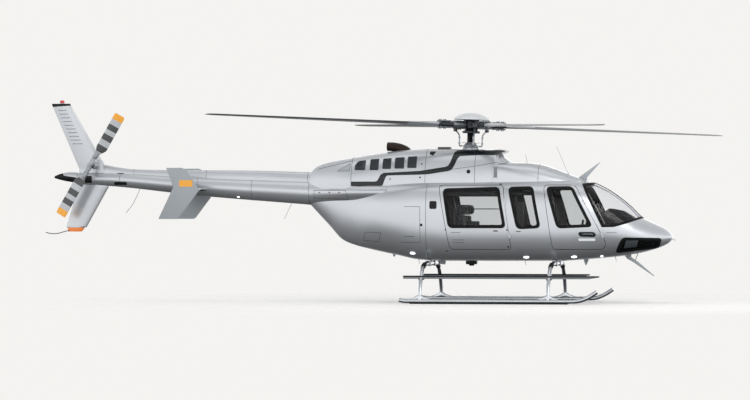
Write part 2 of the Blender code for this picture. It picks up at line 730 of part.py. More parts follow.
aft_fairing = loft("aft_fairing", cowl_rings(HULL_REAR, AFT_JOIN - SEAT_GAP), "silver_paint")
engine_cowl = loft("engine_cowl", cowl_rings(AFT_JOIN, ENGINE_JOIN - SEAT_GAP), "silver_paint")
transmission_cowl = loft("transmission_cowl", cowl_rings(ENGINE_JOIN, COWL_FRONT), "silver_paint")
shoulder_solid = loft("shoulder_solid", [shoulder_ring(x, 0.0004) for x in SHOULDER_STATIONS])
for cowl in (aft_fairing, engine_cowl, transmission_cowl):
    cut_each(cowl, cowl_space, hull_solid)
for cowl in (aft_fairing, engine_cowl):
    cut_each(cowl, shoulder_solid)
lip = loft("cowl_lip", [arch(x, top, half, base) for x, top, half, base in LIP_ROWS])
boolean(transmission_cowl, lip, "UNION")

bm = bmesh.new()
for low_x, high_x, low_z, high_z in GRILLES:
    pitch = (high_z - low_z + GRILLE_BAR) / GRILLE_SLOTS
    for i in range(GRILLE_SLOTS):
        middle = Vector(((low_x + high_x) / 2, 0, low_z + i * pitch + (pitch - GRILLE_BAR) / 2))
        size = (high_x - low_x, 2 * OUTSIDE, pitch - GRILLE_BAR)
        bmesh.ops.create_cube(bm, size=1.0, matrix=Matrix.Translation(middle) @ Matrix.Diagonal((*size, 1.0)))
grille_slots = from_bmesh("grille_slots", bm, None, 0)
boolean(engine_cowl, grille_slots)

COLLAR = [(0, 2.630), (0.120, 2.630), (0.165, 2.560), (0.165, 2.545), (0, 2.545)]
COLLAR_X = 1.651
collar = turned("mast_collar", COLLAR, None, 20)
collar.location = (COLLAR_X, 0, 0)
boolean(transmission_cowl, collar, "UNION")
mast_hole = cylinder_between("mast_hole", (COLLAR_X, 0, 2.40), (COLLAR_X, 0, 2.75), 0.085, 16)
boolean(transmission_cowl, mast_hole)

hump = loft("roof_fairing", [
    arch(x, smooth(HUMP_TOP, x), smooth(HUMP_WIDTH, x), 1.98, 2.5)
    for x in HUMP_STATIONS
], "silver_paint")
cut_each(hump, hull_solid, cowl_solid)

EXHAUST_PATH = [(0.66, 2.42), (0.60, 2.56), (0.49, 2.63), (0.36, 2.655), (0.235, 2.66)]
EXHAUST_RADIUS = (0.115, 0.055)
EXHAUST_WALL = 0.008
EXHAUST_FLARE = 0.03
EXHAUST_SIDES = 16


def duct_rings(grow):
    rings = []
    for i, (x, z) in enumerate(EXHAUST_PATH):
        x0, z0 = EXHAUST_PATH[max(i - 1, 0)]
        x1, z1 = EXHAUST_PATH[min(i + 1, len(EXHAUST_PATH) - 1)]
        along = Vector((x1 - x0, 0, z1 - z0)).normalized()
        across = Vector((-along.z, 0, along.x))
        wide = EXHAUST_RADIUS[0] + grow
        flat = EXHAUST_RADIUS[1] + EXHAUST_FLARE * (1 - i / (len(EXHAUST_PATH) - 1)) + grow
        ring = []
        for k in range(EXHAUST_SIDES):
            angle = 2 * math.pi * k / EXHAUST_SIDES
            ring.append(Vector((x, wide * math.cos(angle), z)) + across * flat * math.sin(angle))
        rings.append(ring)
    return rings


sleeve("exhaust_duct", duct_rings(0.0), duct_rings(-EXHAUST_WALL), "dark_paint")
exhaust_solid = loft("exhaust_solid", duct_rings(SEAT_GAP))
boolean(engine_cowl, exhaust_solid)

ROOF_TOP = HULL_TOP[2][1]
ENGINE_BASE = ROOF_TOP + 0.0008
ENGINE_X = (-0.20, 0.50)
ENGINE_HALF = 0.24
ENGINE_TOP = 2.36
TRANSMISSION_X = (1.36, 1.98)
TRANSMISSION_HALF = 0.22
SHAFT_Z = 2.22
SHAFT_RADIUS = 0.05
SHOULDER_RISE = 0.0108   # the shoulder stands this much above the roof
engine = box(
    "engine_and_transmission", (ENGINE_X[0], -ENGINE_HALF, ENGINE_BASE + SHOULDER_RISE),
    (ENGINE_X[1], ENGINE_HALF, ENGINE_TOP), "steel",
)
transmission = box(
    "transmission_block", (TRANSMISSION_X[0], -TRANSMISSION_HALF, ENGINE_BASE),
    (TRANSMISSION_X[1], TRANSMISSION_HALF, TRANSMISSION_TOP),
)
boolean(engine, transmission, "UNION")
shaft_ends = (ENGINE_X[1] - 0.1, 0, SHAFT_Z), (TRANSMISSION_X[0] + 0.14, 0, SHAFT_Z)
boolean(engine, cylinder_between("input_shaft", *shaft_ends, SHAFT_RADIUS), "UNION")


# Tail

def boom_ring(x, grow=0.0, count=20):
    radius = smooth(BOOM_RADIUS, x) + grow
    middle = smooth(BOOM_MIDDLE, x)
    turns = [2 * math.pi * i / count for i in range(count)]
    return [Vector((x, radius * math.cos(turn), middle + radius * math.sin(turn))) for turn in turns]


BOOM_STATIONS = [BOOM_REAR, -4.70, -3.9, -3.0, -2.1, HULL_REAR - SEAT_GAP]
boom = loft("tail_boom", [boom_ring(x) for x in BOOM_STATIONS], "silver_paint")
boom_solid = loft("boom_solid", [boom_ring(x, 0.0004) for x in BOOM_STATIONS])
boolean(boom, loft("boom_space", [boom_ring(x, -BOOM_WALL, 12) for x in (-5.00, -3.0, HULL_REAR + 0.02)]))

def spine_ring(x):
    base = smooth(BOOM_MIDDLE, x) + 0.3 * smooth(BOOM_RADIUS, x)
    return arch(x, smooth(SPINE_TOP, x), smooth(SPINE_WIDTH, x), base, 2.8, points=10)


SPINE_STATIONS = (-4.72, -4.45, -4.2, -3.6, -2.4, -1.1007)
spine = loft("drive_shaft_cover", [spine_ring(x) for x in SPINE_STATIONS], "silver_paint")
boolean(spine, boom_solid)


def wing(name, rows, finish=None, grow=0.0):
    """An upright wing: each row is height, leading edge, trailing edge and thickness."""
    rings = []
    for z, lead, trail, thick in rows:
        chord = lead - trail
        ring = aerofoil(chord + 2 * grow, (thick + 2 * grow) / (chord + 2 * grow), 6, 0.0)
        rings.append([Vector((lead + grow + along, across, z)) for along, across in ring])
    return loft(name, rings, finish)


fin_upper = wing("upper_fin", FIN_UPPER, "silver_paint")
fin_lower = wing("lower_fin", FIN_LOWER, "silver_paint")
fin_upper_solid = wing("upper_fin_solid", FIN_UPPER, None, 0.0004)
boolean(fin_upper, boom_solid)
boolean(fin_lower, boom_solid)
boolean(spine, fin_upper_solid)

beacon = turned("beacon", [(0, 0.060), (0.022, 0.052), (0.034, 0.030), (0.036, 0.0), (0, 0)], "red_lens", 16)
beacon.location = (BEACON_X, 0, FIN_UPPER[-1][0] + SEAT_GAP)

# Each row of the tail cone gives its place along X, half-height and middle height.
CONE_ROWS = [
    (BOOM_REAR - SEAT_GAP, 0.096, 2.115), (-5.36, 0.080, 2.135), (-5.50, 0.050, 2.135), (-5.60, 0.018, 2.130),
]
CONE_FLATNESS = 0.8
CONE_TURNS = [2 * math.pi * i / 16 for i in range(16)]
loft("tail_cone", [
    [Vector((x, CONE_FLATNESS * r * math.cos(turn), z + r * math.sin(turn))) for turn in CONE_TURNS]
    for x, r, z in CONE_ROWS
], "silver_paint")

TAIL_SKID_PATH = [
    (-5.30, 0, 1.2214), (-5.40, 0, 1.200), (-5.55, 0, 1.160), (-5.66, 0, 1.158), (-5.755, 0, 1.178),
]
TAIL_SKID_RADIUS = 0.008
tube("tail_skid", TAIL_SKID_PATH, TAIL_SKID_RADIUS, "dark_paint", sides=2)


def stabiliser_rings(grow, reach):
    chord = STABILISER_CHORD[1] - STABILISER_CHORD[0] + 2 * grow
    ring = aerofoil(chord, (STABILISER_THICK + 2 * grow) / chord, 6, 0.0)
    return [
        [Vector((STABILISER_CHORD[1] + grow + along, y, STABILISER_Z - across)) for along, across in ring]
        for y in (-reach, reach)
    ]


HALF_PLATE = ENDPLATE_THICK / 2
loft("stabiliser", stabiliser_rings(0.0, ENDPLATE_Y - HALF_PLATE - SEAT_GAP), "silver_paint")
boolean(boom, loft("stabiliser_solid", stabiliser_rings(0.0004, 0.6)))
for side_name, side in SIDES.items():
    plate_faces = side * ENDPLATE_Y - HALF_PLATE, side * ENDPLATE_Y + HALF_PLATE
    plate = prism(f"endplate_{side_name}", ENDPLATE, *plate_faces, "silver_paint")
    round_edges(plate, 0.008)


# Main rotor

main_axis = empty("main_rotor_axis", HUB, (0.0, MAST_TILT, 0.0))
mast_bottom = (TRANSMISSION_TOP + 0.0025 - HUB.z) / math.cos(MAST_TILT)
hub = turned("main_rotor_hub", [
    (0, 0.085), (0.085, 0.085), (0.105, 0.060), (0.110, -0.050), (0.080, -0.090), (0.056, -0.110),
    (0.056, -0.270), (0.150, -0.280), (0.165, -0.295), (0.165, -0.335), (0.075, -0.350), (0.052, -0.36),
    (0.052, mast_bottom), (0, mast_bottom),
], "dark_paint", 20, main_axis)
# Each row of a hub arm gives its radius from the mast, half-width and half-height.
ARM_ROWS = [
    (0.085, 0.055, 0.036), (0.26, 0.050, 0.026), (0.36, 0.062, 0.038), (0.56, 0.078, 0.042),
    (0.66, 0.090, 0.028),
]
ARM_END = BLADE_ROOT - SEAT_GAP


def spun(place, angle):
    return Matrix.Rotation(angle, 3, "Z") @ place


def arm_rings(angle):
    rings = []
    for r, half_width, half_height in ARM_ROWS:
        r = min(r, ARM_END)
        ring = []
        for k in range(10):
            turn = 2 * math.pi * k / 10
            y = half_width * power(math.cos(turn), 0.6)
            z = half_height * power(math.sin(turn), 0.6)
            ring.append(spun(Vector((r, y, z)), angle))
        rings.append(ring)
    return rings


LINK_PATH = [(0.150, -0.315), (0.215, -0.300), (0.235, -0.20), (0.27, -0.11), (0.30, -0.02)]
for number in range(MAIN_BLADES):
    angle = MAIN_REST + number * 2 * math.pi / MAIN_BLADES
    arm = loft(f"hub_arm_{number}", arm_rings(angle))
    arm.parent = main_axis
    boolean(hub, arm, "UNION")
    rod = tube(
        f"pitch_link_{number}", [spun(Vector((r, -0.045, z)), angle) for r, z in LINK_PATH], 0.013,
        smooth_path=False, sides=1,
    )
    rod.parent = main_axis
    boolean(hub, rod, "UNION")

HUB_TOP = 0.085
turned("rotor_dome", [
    (0, 0.205), (0.10, 0.198), (0.20, 0.170), (0.27, 0.130), (0.305, 0.098), (0.300, HUB_TOP + SEAT_GAP),
    (0, HUB_TOP + SEAT_GAP),
], "pale_grey", 28, main_axis)

# Each row of a blade gives its radius, share of the full chord, thickness and pitch in degrees.
BLADE_ROWS = [
    (BLADE_ROOT, 0.50, 0.24, 12.0), (0.80, 0.62, 0.17, 11.5), (1.05, 1.0, 0.11, 10.5), (2.2, 1.0, 0.10, 8.5),
    (3.5, 1.0, 0.095, 6.2), (4.62, 1.0, 0.090, 4.2), (MAIN_RADIUS, 0.72, 0.085, 3.9),
]


def pitched(along, across, degrees):
    """A point of a blade section, turned by the blade's pitch."""
    turn = math.radians(degrees)
    return (
        along * math.cos(turn) - across * math.sin(turn),
        along * math.sin(turn) + across * math.cos(turn),
    )


for number in range(MAIN_BLADES):
    rings = []
    for r, chord_share, thick, pitch in BLADE_ROWS:
        section = aerofoil(MAIN_CHORD * chord_share, thick, 6)
        rings.append([Vector((r, *pitched(along, across, pitch))) for along, across in section])
    blade = loft(f"main_blade_{number + 1}", rings, "blade_grey")
    blade.parent = main_axis
    blade.rotation_euler = (0.0, 0.0, MAIN_REST + number * 2 * math.pi / MAIN_BLADES)

# Tail rotor

tail_axis = empty("tail_rotor_axis", TAIL_HUB)
GEARBOX_END = -0.20
GEARBOX_RADIUS = 0.065
TAIL_SHAFT_RADIUS = 0.030
TAIL_CUFF = 0.17


def on_tail_axis(y):
    return Vector((TAIL_HUB.x, y, TAIL_HUB.z))


gearbox = cylinder_between(
    "tail_gearbox", on_tail_axis(0.0), on_tail_axis(GEARBOX_END), GEARBOX_RADIUS, 20, "dark_paint"
)
boolean(gearbox, fin_upper_solid)
shaft_faces = on_tail_axis(GEARBOX_END - 0.0005), on_tail_axis(-0.41)
tail_hub = cylinder_between("tail_rotor_hub", *shaft_faces, TAIL_SHAFT_RADIUS, 16, "dark_paint")
collar_faces = on_tail_axis(-0.235), on_tail_axis(-0.262)
boolean(tail_hub, cylinder_between("pitch_collar", *collar_faces, 0.052, 16), "UNION")
# Each row of the tail hub's arm gives its radius, half-width and half-thickness.
TAIL_ARM_ROWS = (
    (-TAIL_CUFF, 0.026, 0.020), (-0.06, 0.045, 0.028), (0.06, 0.045, 0.028), (TAIL_CUFF, 0.026, 0.020),
)
HORN_RADIUS = 0.009
HORN_OUT = 0.125


def tail_arm_rings(angle):
    rings = []
    for r, half, thick in TAIL_ARM_ROWS:
        ring = []
        for k in range(12):
            turn = 2 * math.pi * k / 12
            flat = Vector((r, thick * power(math.cos(turn), 0.7), half * power(math.sin(turn), 0.7)))
            ring.append(Matrix.Rotation(-angle, 3, "Y") @ flat + TAIL_HUB)
        rings.append(ring)
    return rings


boolean(tail_hub, loft("tail_hub_arms", tail_arm_rings(TAIL_REST)), "UNION")
for number in range(2):
    turn = Matrix.Rotation(-TAIL_REST + number * math.pi, 3, "Y")
    horn = cylinder_between(
        f"pitch_horn_{number}", TAIL_HUB + turn @ Vector((0.045, 0.100, 0.0)),
        TAIL_HUB + turn @ Vector((HORN_OUT, 0.004, 0.030)), HORN_RADIUS, 6,
    )
    boolean(tail_hub, horn, "UNION")
hang_on(tail_hub, tail_axis)
TAIL_ROWS = [
    (TAIL_CUFF + SEAT_GAP, 0.30, 0.40, 12.0), (0.26, 0.55, 0.26, 11.0), (0.36, 1.0, 0.14, 10.0),
    (0.95, 1.0, 0.10, 7.0), (TAIL_RADIUS, 0.90, 0.09, 7.0),
]
for number in range(2):
    rings = []
    for r, chord_share, thick, pitch in TAIL_ROWS:
        ring = []
        for point in aerofoil(TAIL_CHORD * chord_share, thick, 6, 0.35):
            along, across = pitched(*point, pitch)
            ring.append(Vector((r, -across, along)))
        rings.append(ring)
    blade = loft(f"tail_blade_{number + 1}", rings, "pale_grey")
    blade.parent = tail_axis
    blade.rotation_euler = (0.0, -TAIL_REST + number * math.pi, 0.0)


# Skid gear

def foot(name, x, side, grow=0.0):
    """The web that spreads a leg's load along its skid, fore and aft."""
    outline = []
    for k in range(-FOOT_STEPS, FOOT_STEPS + 1):
        along = FOOT_HALF * k / FOOT_STEPS
        rise = FOOT_RISE * (1 - abs(k) / FOOT_STEPS) ** 2
        outline.append((x + along, FOOT_BASE + FOOT_EDGE + rise + grow))
    outline += [(x + FOOT_HALF + grow, FOOT_BASE - grow), (x - FOOT_HALF - grow, FOOT_BASE - grow)]
    half = FOOT_THICK + grow
    return prism(name, outline, side * SKID_Y - half, side * SKID_Y + half)


leg_solids = []
for name, x in (("aft", LEG_X[0]), ("front", LEG_X[1])):
    path, socket_path = [
        [(x, y, z) for y, z in side_path] + [(x, -y, z) for y, z in reversed(side_path)]
        for side_path in (LEG_PATH, [LEG_SOCKET] + LEG_PATH[1:])
    ]
    leg = tube(f"cross_tube_{name}", path, LEG_RADIUS, "steel", smooth_path=False)
    for side_name, side in SIDES.items():
        low_y, high_y = sorted(side * y for y in CLAMP_Y)
        clamp_corners = (x - CLAMP_HALF, low_y, CLAMP_Z[0]), (x + CLAMP_HALF, high_y, CLAMP_Z[1])
        clamp = box(f"clamp_{name}_{side_name}", *clamp_corners)
        boolean(clamp, hull_solid)
        boolean(leg, clamp, "UNION")
        boolean(leg, foot(f"foot_{name}_{side_name}", x, side), "UNION")
    leg_solids.append(tube(f"cross_tube_{name}_solid", socket_path, LEG_RADIUS + SEAT_GAP, smooth_path=False))
    leg_solids += [foot(f"foot_{name}_solid_{side}", x, side, SEAT_GAP) for side in SIDES.values()]

for side_name, side in SIDES.items():
    skid = tube(f"skid_{side_name}", [(x, side * SKID_Y, z) for x, z in SKID_PATH], TUBE_RADIUS, "steel")
    shoe = box(f"shoe_{side_name}", (0.80, side * SKID_Y - 0.026, 0.0), (3.45, side * SKID_Y + 0.026, 0.024))
    boolean(skid, shoe, "UNION")
    cut_each(skid, *leg_solids)
    front = STEP_FRONT[side_name]
    step_outline = [
        (0.66, STEP_Y - 0.035), (0.72, STEP_Y - 0.070), (front - 0.26, STEP_Y - 0.070),
        (front, STEP_Y + 0.030), (front, STEP_Y + 0.045), (front - 0.08, STEP_Y + 0.070),
        (0.72, STEP_Y + 0.070), (0.66, STEP_Y + 0.035),
    ]
    rings = [[Vector((x, side * y, z)) for x, y in step_outline] for z in STEP_Z]
    step = loft(f"step_{side_name}", rings, "pale_grey", 0)
    cut_each(step, *leg_solids)


# Inside

def seat(name, profile, low_y, high_y):
    piece = prism(name, profile, low_y, high_y, "fabric")
    round_edges(piece, 0.03)
    return piece


FLOOR_SEAT = FLOOR_TOP + SEAT_GAP
SEAT_SIDES = (0.07, 0.50)
BENCH_HALF = 0.52
FRONT_SEAT = [
    (2.88, FLOOR_SEAT), (3.42, FLOOR_SEAT), (3.50, 1.14), (3.48, 1.24), (3.13, 1.21), (3.02, 1.62),
    (3.05, 1.80), (2.96, 1.88), (2.88, 1.86), (2.90, 1.60),
]
MIDDLE_SEAT = [
    (2.52, FLOOR_SEAT), (2.10, FLOOR_SEAT), (2.04, 1.12), (2.06, 1.21), (2.36, 1.20), (2.40, 1.72),
    (2.50, 1.72), (2.53, 1.20),
]
REAR_SEAT = [
    (1.055, FLOOR_SEAT), (1.80, FLOOR_SEAT), (1.86, 1.14), (1.84, 1.23), (1.66, 1.22), (1.62, 1.60),
    (1.58, 1.66), (1.46, 1.66), (1.42, 1.58), (1.38, 1.20), (1.055, 1.16),
]
for side_name, side in SIDES.items():
    seat(f"front_seat_{side_name}", FRONT_SEAT, side * SEAT_SIDES[0], side * SEAT_SIDES[1])
seat("middle_seat", MIDDLE_SEAT, -BENCH_HALF, BENCH_HALF)
seat("rear_seat", REAR_SEAT, -BENCH_HALF, BENCH_HALF)

CONSOLE_HALF = 0.11
HOOD_HALF = 0.30
HOOD = [(3.98, 1.30), (4.42, 1.28), (4.42, 1.44), (4.24, 1.55), (4.04, 1.59), (3.98, 1.55)]
console_corners = (3.72, -CONSOLE_HALF, FLOOR_SEAT), (4.20, CONSOLE_HALF, 1.36)
console = box("instrument_console", *console_corners, "dark_paint")
boolean(console, prism("instrument_hood", HOOD, -HOOD_HALF, HOOD_HALF), "UNION")


# Fittings below and above

CUTTER_HALF = 0.008
LOWER_CUTTER = [
    (4.16, 0.84), (4.50, 0.90), (4.46, 0.71), (4.77, 0.47), (4.75, 0.45), (4.39, 0.68), (4.30, 0.66),
    (4.24, 0.72),
]
UPPER_CUTTER = [
    (3.46, 2.06), (3.66, 2.00), (3.64, 2.14), (3.86, 2.35), (3.83, 2.37), (3.56, 2.17), (3.50, 2.15),
]
lower_cutter = prism("wire_cutter_lower", LOWER_CUTTER, -CUTTER_HALF, CUTTER_HALF, "dark_paint")
boolean(lower_cutter, hull_solid)
upper_cutter = prism("wire_cutter_upper", UPPER_CUTTER, -CUTTER_HALF, CUTTER_HALF, "dark_paint")
hump_solid = loft("hump_solid", [
    arch(x, smooth(HUMP_TOP, x) + 0.0004, smooth(HUMP_WIDTH, x) + 0.0004, 1.98, 2.5)
    for x in HUMP_STATIONS
])
cut_each(upper_cutter, hull_solid, hump_solid)
HOOK_HALF = 0.07
hook = box("belly_hook", (1.58, -HOOK_HALF, 0.62), (1.76, HOOK_HALF, 0.71), "dark_paint")
boolean(hook, hull_solid)
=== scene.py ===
# %% [markdown]
# # Dressing a light helicopter
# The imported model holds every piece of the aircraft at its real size. This script keeps that frame and gives it its
# looks: smooth painted skins in place of the faceted solids, glass, rubber, bare metal, padded seats, and the small
# fittings that a helicopter carries. Each cell makes one thing and prints what it made.

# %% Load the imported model
import math

import bmesh
import bpy
from mathutils import Matrix, Vector


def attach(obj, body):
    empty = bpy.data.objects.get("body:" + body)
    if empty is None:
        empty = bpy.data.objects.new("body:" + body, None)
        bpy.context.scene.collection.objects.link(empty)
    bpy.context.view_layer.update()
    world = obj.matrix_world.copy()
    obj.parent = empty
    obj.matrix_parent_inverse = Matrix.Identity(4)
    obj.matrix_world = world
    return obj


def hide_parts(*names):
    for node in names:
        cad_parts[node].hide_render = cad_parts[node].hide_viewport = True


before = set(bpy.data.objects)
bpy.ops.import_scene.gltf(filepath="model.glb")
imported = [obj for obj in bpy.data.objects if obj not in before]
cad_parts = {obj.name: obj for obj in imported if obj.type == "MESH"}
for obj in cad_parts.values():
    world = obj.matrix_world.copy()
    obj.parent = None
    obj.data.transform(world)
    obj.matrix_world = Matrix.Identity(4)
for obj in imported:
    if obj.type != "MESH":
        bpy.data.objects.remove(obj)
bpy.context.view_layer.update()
SIDES = {"right": -1, "left": 1}
MM = 0.001

# %% [markdown]
# ## Camera
# The picture is taken from far off the starboard side, ten degrees ahead of abeam and level with the cabin, so a long
# lens is used: lines that recede hardly converge. The lens follows from the aircraft's scale in the picture, 58.85
# pixels a metre at 65 m, on a picture 750 pixels wide.

# %% Camera
PICTURE_WIDE = 750
PIXELS_A_METRE = 58.85
VIEW_DISTANCE = 65.0
VIEW_AZIMUTH = math.radians(10.0)
LOOK_UP = math.radians(0.165)
EYE_HEIGHT = 1.546
AIM_X = 0.01
SENSOR_MM = 36.0


def placed(name, data):
    """An object at the origin, linked to the scene."""
    obj = bpy.data.objects.new(name, data)
    bpy.context.scene.collection.objects.link(obj)
    return obj


camera_data = bpy.data.cameras.new("camera")
camera_data.sensor_width = SENSOR_MM
camera_data.lens = SENSOR_MM * PIXELS_A_METRE * VIEW_DISTANCE / PICTURE_WIDE
camera_data.clip_start = 1.0
camera_data.clip_end = 400.0
camera = placed("camera", camera_data)
camera.location = (
    AIM_X + VIEW_DISTANCE * math.sin(VIEW_AZIMUTH), -VIEW_DISTANCE * math.cos(VIEW_AZIMUTH), EYE_HEIGHT,
)
camera.rotation_euler = (math.pi / 2 + LOOK_UP, 0.0, VIEW_AZIMUTH)
bpy.context.scene.camera = camera
print(f"lens {camera_data.lens:.1f} mm")

# %% [markdown]
# ## Finishes
# A real surface is never one flat colour. Each finish below starts from a Principled shader with the values of its real
# material. A slow noise lets the tone wander between two close colours, and a finer one varies the gloss and gives a
# shallow relief. Both read Object coordinates, so they stay on the piece when it moves.

# %% Helpers for materials
def linear(code):
    """An sRGB hex colour in the linear values that a shader takes."""
    parts = [int(code[i:i + 2], 16) / 255 for i in (1, 3, 5)]
    return (*[p / 12.92 if p <= 0.04045 else ((p + 0.055) / 1.055) ** 2.4 for p in parts], 1.0)


def socket(sockets, name):
    """A socket by its identifier, or else by its name."""
    return next((s for s in sockets if s.identifier == name), None) or sockets[name]


def add(tree, kind, inputs, **settings):
    """One node with its settings; each input gets a value, or the output that feeds it."""
    node = tree.nodes.new(kind)
    for name, value in settings.items():
        setattr(node, name, value)
    for name, value in inputs.items():
        if isinstance(value, bpy.types.NodeSocket):
            tree.links.new(value, socket(node.inputs, name))
        else:
            socket(node.inputs, name).default_value = value
    return node


def finish(name, light, dark, roughness, mottle_mm=600, grain_mm=40, relief_mm=0.05, spread=0.06, **shader_values):
    """A painted, moulded or bare surface. Underscores in a shader value's name stand for spaces."""
    made = bpy.data.materials.new(name)
    made.use_nodes = True
    tree = made.node_tree
    shader = tree.nodes["Principled BSDF"]
    place = add(tree, "ShaderNodeTexCoord", {}).outputs["Object"]
    mottle = add(tree, "ShaderNodeTexNoise", {"Vector": place, "Scale": 1000 / mottle_mm, "Detail": 4.0})
    grain = add(tree, "ShaderNodeTexNoise", {"Vector": place, "Scale": 1000 / grain_mm, "Detail": 2.0})
    tone = add(
        tree, "ShaderNodeMix",
        {"Factor_Float": mottle.outputs["Fac"], "A_Color": linear(light), "B_Color": linear(dark)}, data_type="RGBA",
    )
    gloss = add(tree, "ShaderNodeMapRange", {
        "Value": grain.outputs["Fac"], "From Min": 0.3, "From Max": 0.7,
        "To Min": max(roughness - spread, 0.02), "To Max": min(roughness + spread, 1.0),
    })
    relief = add(tree, "ShaderNodeBump", {"Height": grain.outputs["Fac"], "Distance": relief_mm * MM})
    tree.links.new(socket(tone.outputs, "Result_Color"), shader.inputs["Base Color"])
    tree.links.new(gloss.outputs["Result"], shader.inputs["Roughness"])
    tree.links.new(relief.outputs["Normal"], shader.inputs["Normal"])
    for name, value in shader_values.items():
        shader.inputs[name.replace("_", " ")].default_value = value
    print("finish:", made.name)
    return made


# %% [markdown]
# ### Paints
# The body carries an aluminium-flake base coat under clear lacquer, so it is partly metallic with a coat. The stripe is
# a solid lacquer. The blades have a satin polyurethane paint that rain and dust have dulled.

# %% Paints
PAINT = finish(
    "silver_flake_lacquer", "#b9bcbf", "#adb0b4", 0.33, 900, 5, 0.015, 0.05, Metallic=0.62, Coat_Weight=0.55,
    Coat_Roughness=0.10,
)
STRIPE = finish(
    "blue_black_lacquer", "#06090d", "#0b0f14", 0.30, 700, 12, 0.01, Coat_Weight=0.15, Coat_Roughness=0.10,
    Specular_IOR_Level=0.30,
)
STEP_GREY = finish("anodised_step_grey", "#73777a", "#696d70", 0.45, 300, 8, 0.02)
PLATE_GREY = finish("pale_grey_enamel", "#9ba1a5", "#8f9599", 0.42, 500, 10, 0.02)
WARNING = finish("yellow_orange_enamel", "#f2ab35", "#e79c28", 0.40, 300, 10, 0.02)
TIP_ORANGE = finish("orange_enamel", "#f08a3c", "#e57f32", 0.40, 200, 10, 0.02)
BLADE_PAINT = finish("satin_grey_blade_paint", "#45494d", "#393d41", 0.40, 350, 8, 0.03, 0.10, Metallic=0.15)
BAND_DARK = finish("charcoal_blade_paint", "#4a4c4c", "#3b3c3c", 0.42, 200, 8, 0.02)
BAND_LIGHT = finish("light_grey_blade_paint", "#b9bdbf", "#aeb2b5", 0.40, 200, 8, 0.02)

# %% [markdown]
# ### Metals, rubber, plastics and glass
# Skid tubes are bare aluminium alloy, drawn and worn bright. Hub forgings are shot-peened steel with a dark finish, and
# the blades' grips are anodised. The exhaust is stainless steel that heat has browned. Window seals are carbon-black
# rubber, and the panes are acrylic. Its index of refraction is 1.49, and an anti-glare film on the cabin panes and the
# windscreen brings the reflection down to that of 1.22. The smoked chin panes have no film.

# %% Metals
BRIGHT_TUBE = finish("worn_aluminium_tube", "#c7cacd", "#a9adb1", 0.27, 260, 6, 0.03, 0.09, Metallic=1.0)
STEEL = finish("machined_steel", "#8d9195", "#777b7f", 0.30, 120, 4, 0.02, 0.08, Metallic=1.0)
HUB_STEEL = finish("dark_peened_steel", "#3a3d40", "#2c2e31", 0.42, 90, 3, 0.10, 0.08, Metallic=0.8)
BURNT_STEEL = finish("heat_browned_steel", "#3b302a", "#211d1b", 0.46, 90, 6, 0.06, 0.12, Metallic=0.9)
DOME_METAL = finish("spun_aluminium_dome", "#c9ccce", "#bdc0c2", 0.42, 200, 5, 0.02, 0.05, Metallic=0.4)
RUBBER = finish("black_rubber_seal", "#090a0b", "#101112", 0.62, 150, 3, 0.05, Specular_IOR_Level=0.15)
GRIP_ALLOY = finish("anodised_grip_forging", "#66696c", "#565a5d", 0.36, 90, 3, 0.08, 0.08, Metallic=0.6)
CAST_ALLOY = finish("shot_blasted_casting", "#a4a8ab", "#92969a", 0.42, 90, 3, 0.08, 0.08, Metallic=0.35)
BLACK_PLASTIC = finish("black_moulded_plastic", "#0c0d0e", "#141516", 0.55, 120, 1.5, 0.10, Specular_IOR_Level=0.25)
GRILLE_MESH = finish("dark_woven_screen", "#3d4347", "#2e3337", 0.62, 90, 3, 0.20)
TREAD = finish("grit_step_tread", "#242628", "#1a1c1d", 0.90, 60, 1.2, 0.30)
INK = finish("panel_seam_shadow", "#4a4d50", "#3c3f42", 0.70, 200, 4, 0.0)

# %% Glass
def clear_glass(name, tint, index, roughness=0.0):
    """A clear pane. Its constants sit on the shader's own sockets, and a fine film of dust varies its gloss."""
    made = bpy.data.materials.new(name)
    made.use_nodes = True
    shader = made.node_tree.nodes["Principled BSDF"]
    place = add(made.node_tree, "ShaderNodeTexCoord", {}).outputs["Object"]
    film = add(made.node_tree, "ShaderNodeTexNoise", {"Vector": place, "Scale": 1000 / 350, "Detail": 3.0})
    dust = add(made.node_tree, "ShaderNodeMapRange", {
        "Value": film.outputs["Fac"], "From Min": 0.45, "From Max": 0.8,
        "To Min": roughness, "To Max": roughness + 0.03,
    })
    made.node_tree.links.new(dust.outputs["Result"], shader.inputs["Roughness"])
    shader.inputs["Base Color"].default_value = linear(tint)
    shader.inputs["Transmission Weight"].default_value = 1.0
    shader.inputs["IOR"].default_value = index
    print("glass:", made.name)
    return made


ACRYLIC = clear_glass("anti_glare_acrylic_pane", "#e1e3e4", 1.22)
SCREEN_ACRYLIC = clear_glass("clear_acrylic_windscreen", "#f5f6f8", 1.22)
SMOKED = clear_glass("smoked_acrylic_pane", "#2a3236", 1.49)
RED_GLASS = clear_glass("red_glass_lens", "#e23a31", 1.50)
LENS = clear_glass("moulded_lamp_lens", "#fbfbf6", 1.50, 0.10)

# %% [markdown]
# ## Shapes that follow one law
# The body is a run of superellipses: each table gives one value of the cross-section along the aircraft. A monotone
# cubic reads the tables, so the skin can be sampled as finely as the eye needs, and every piece that sits on the skin
# (doors, panes, seals, seams, the stripe) asks the same function where the skin is.

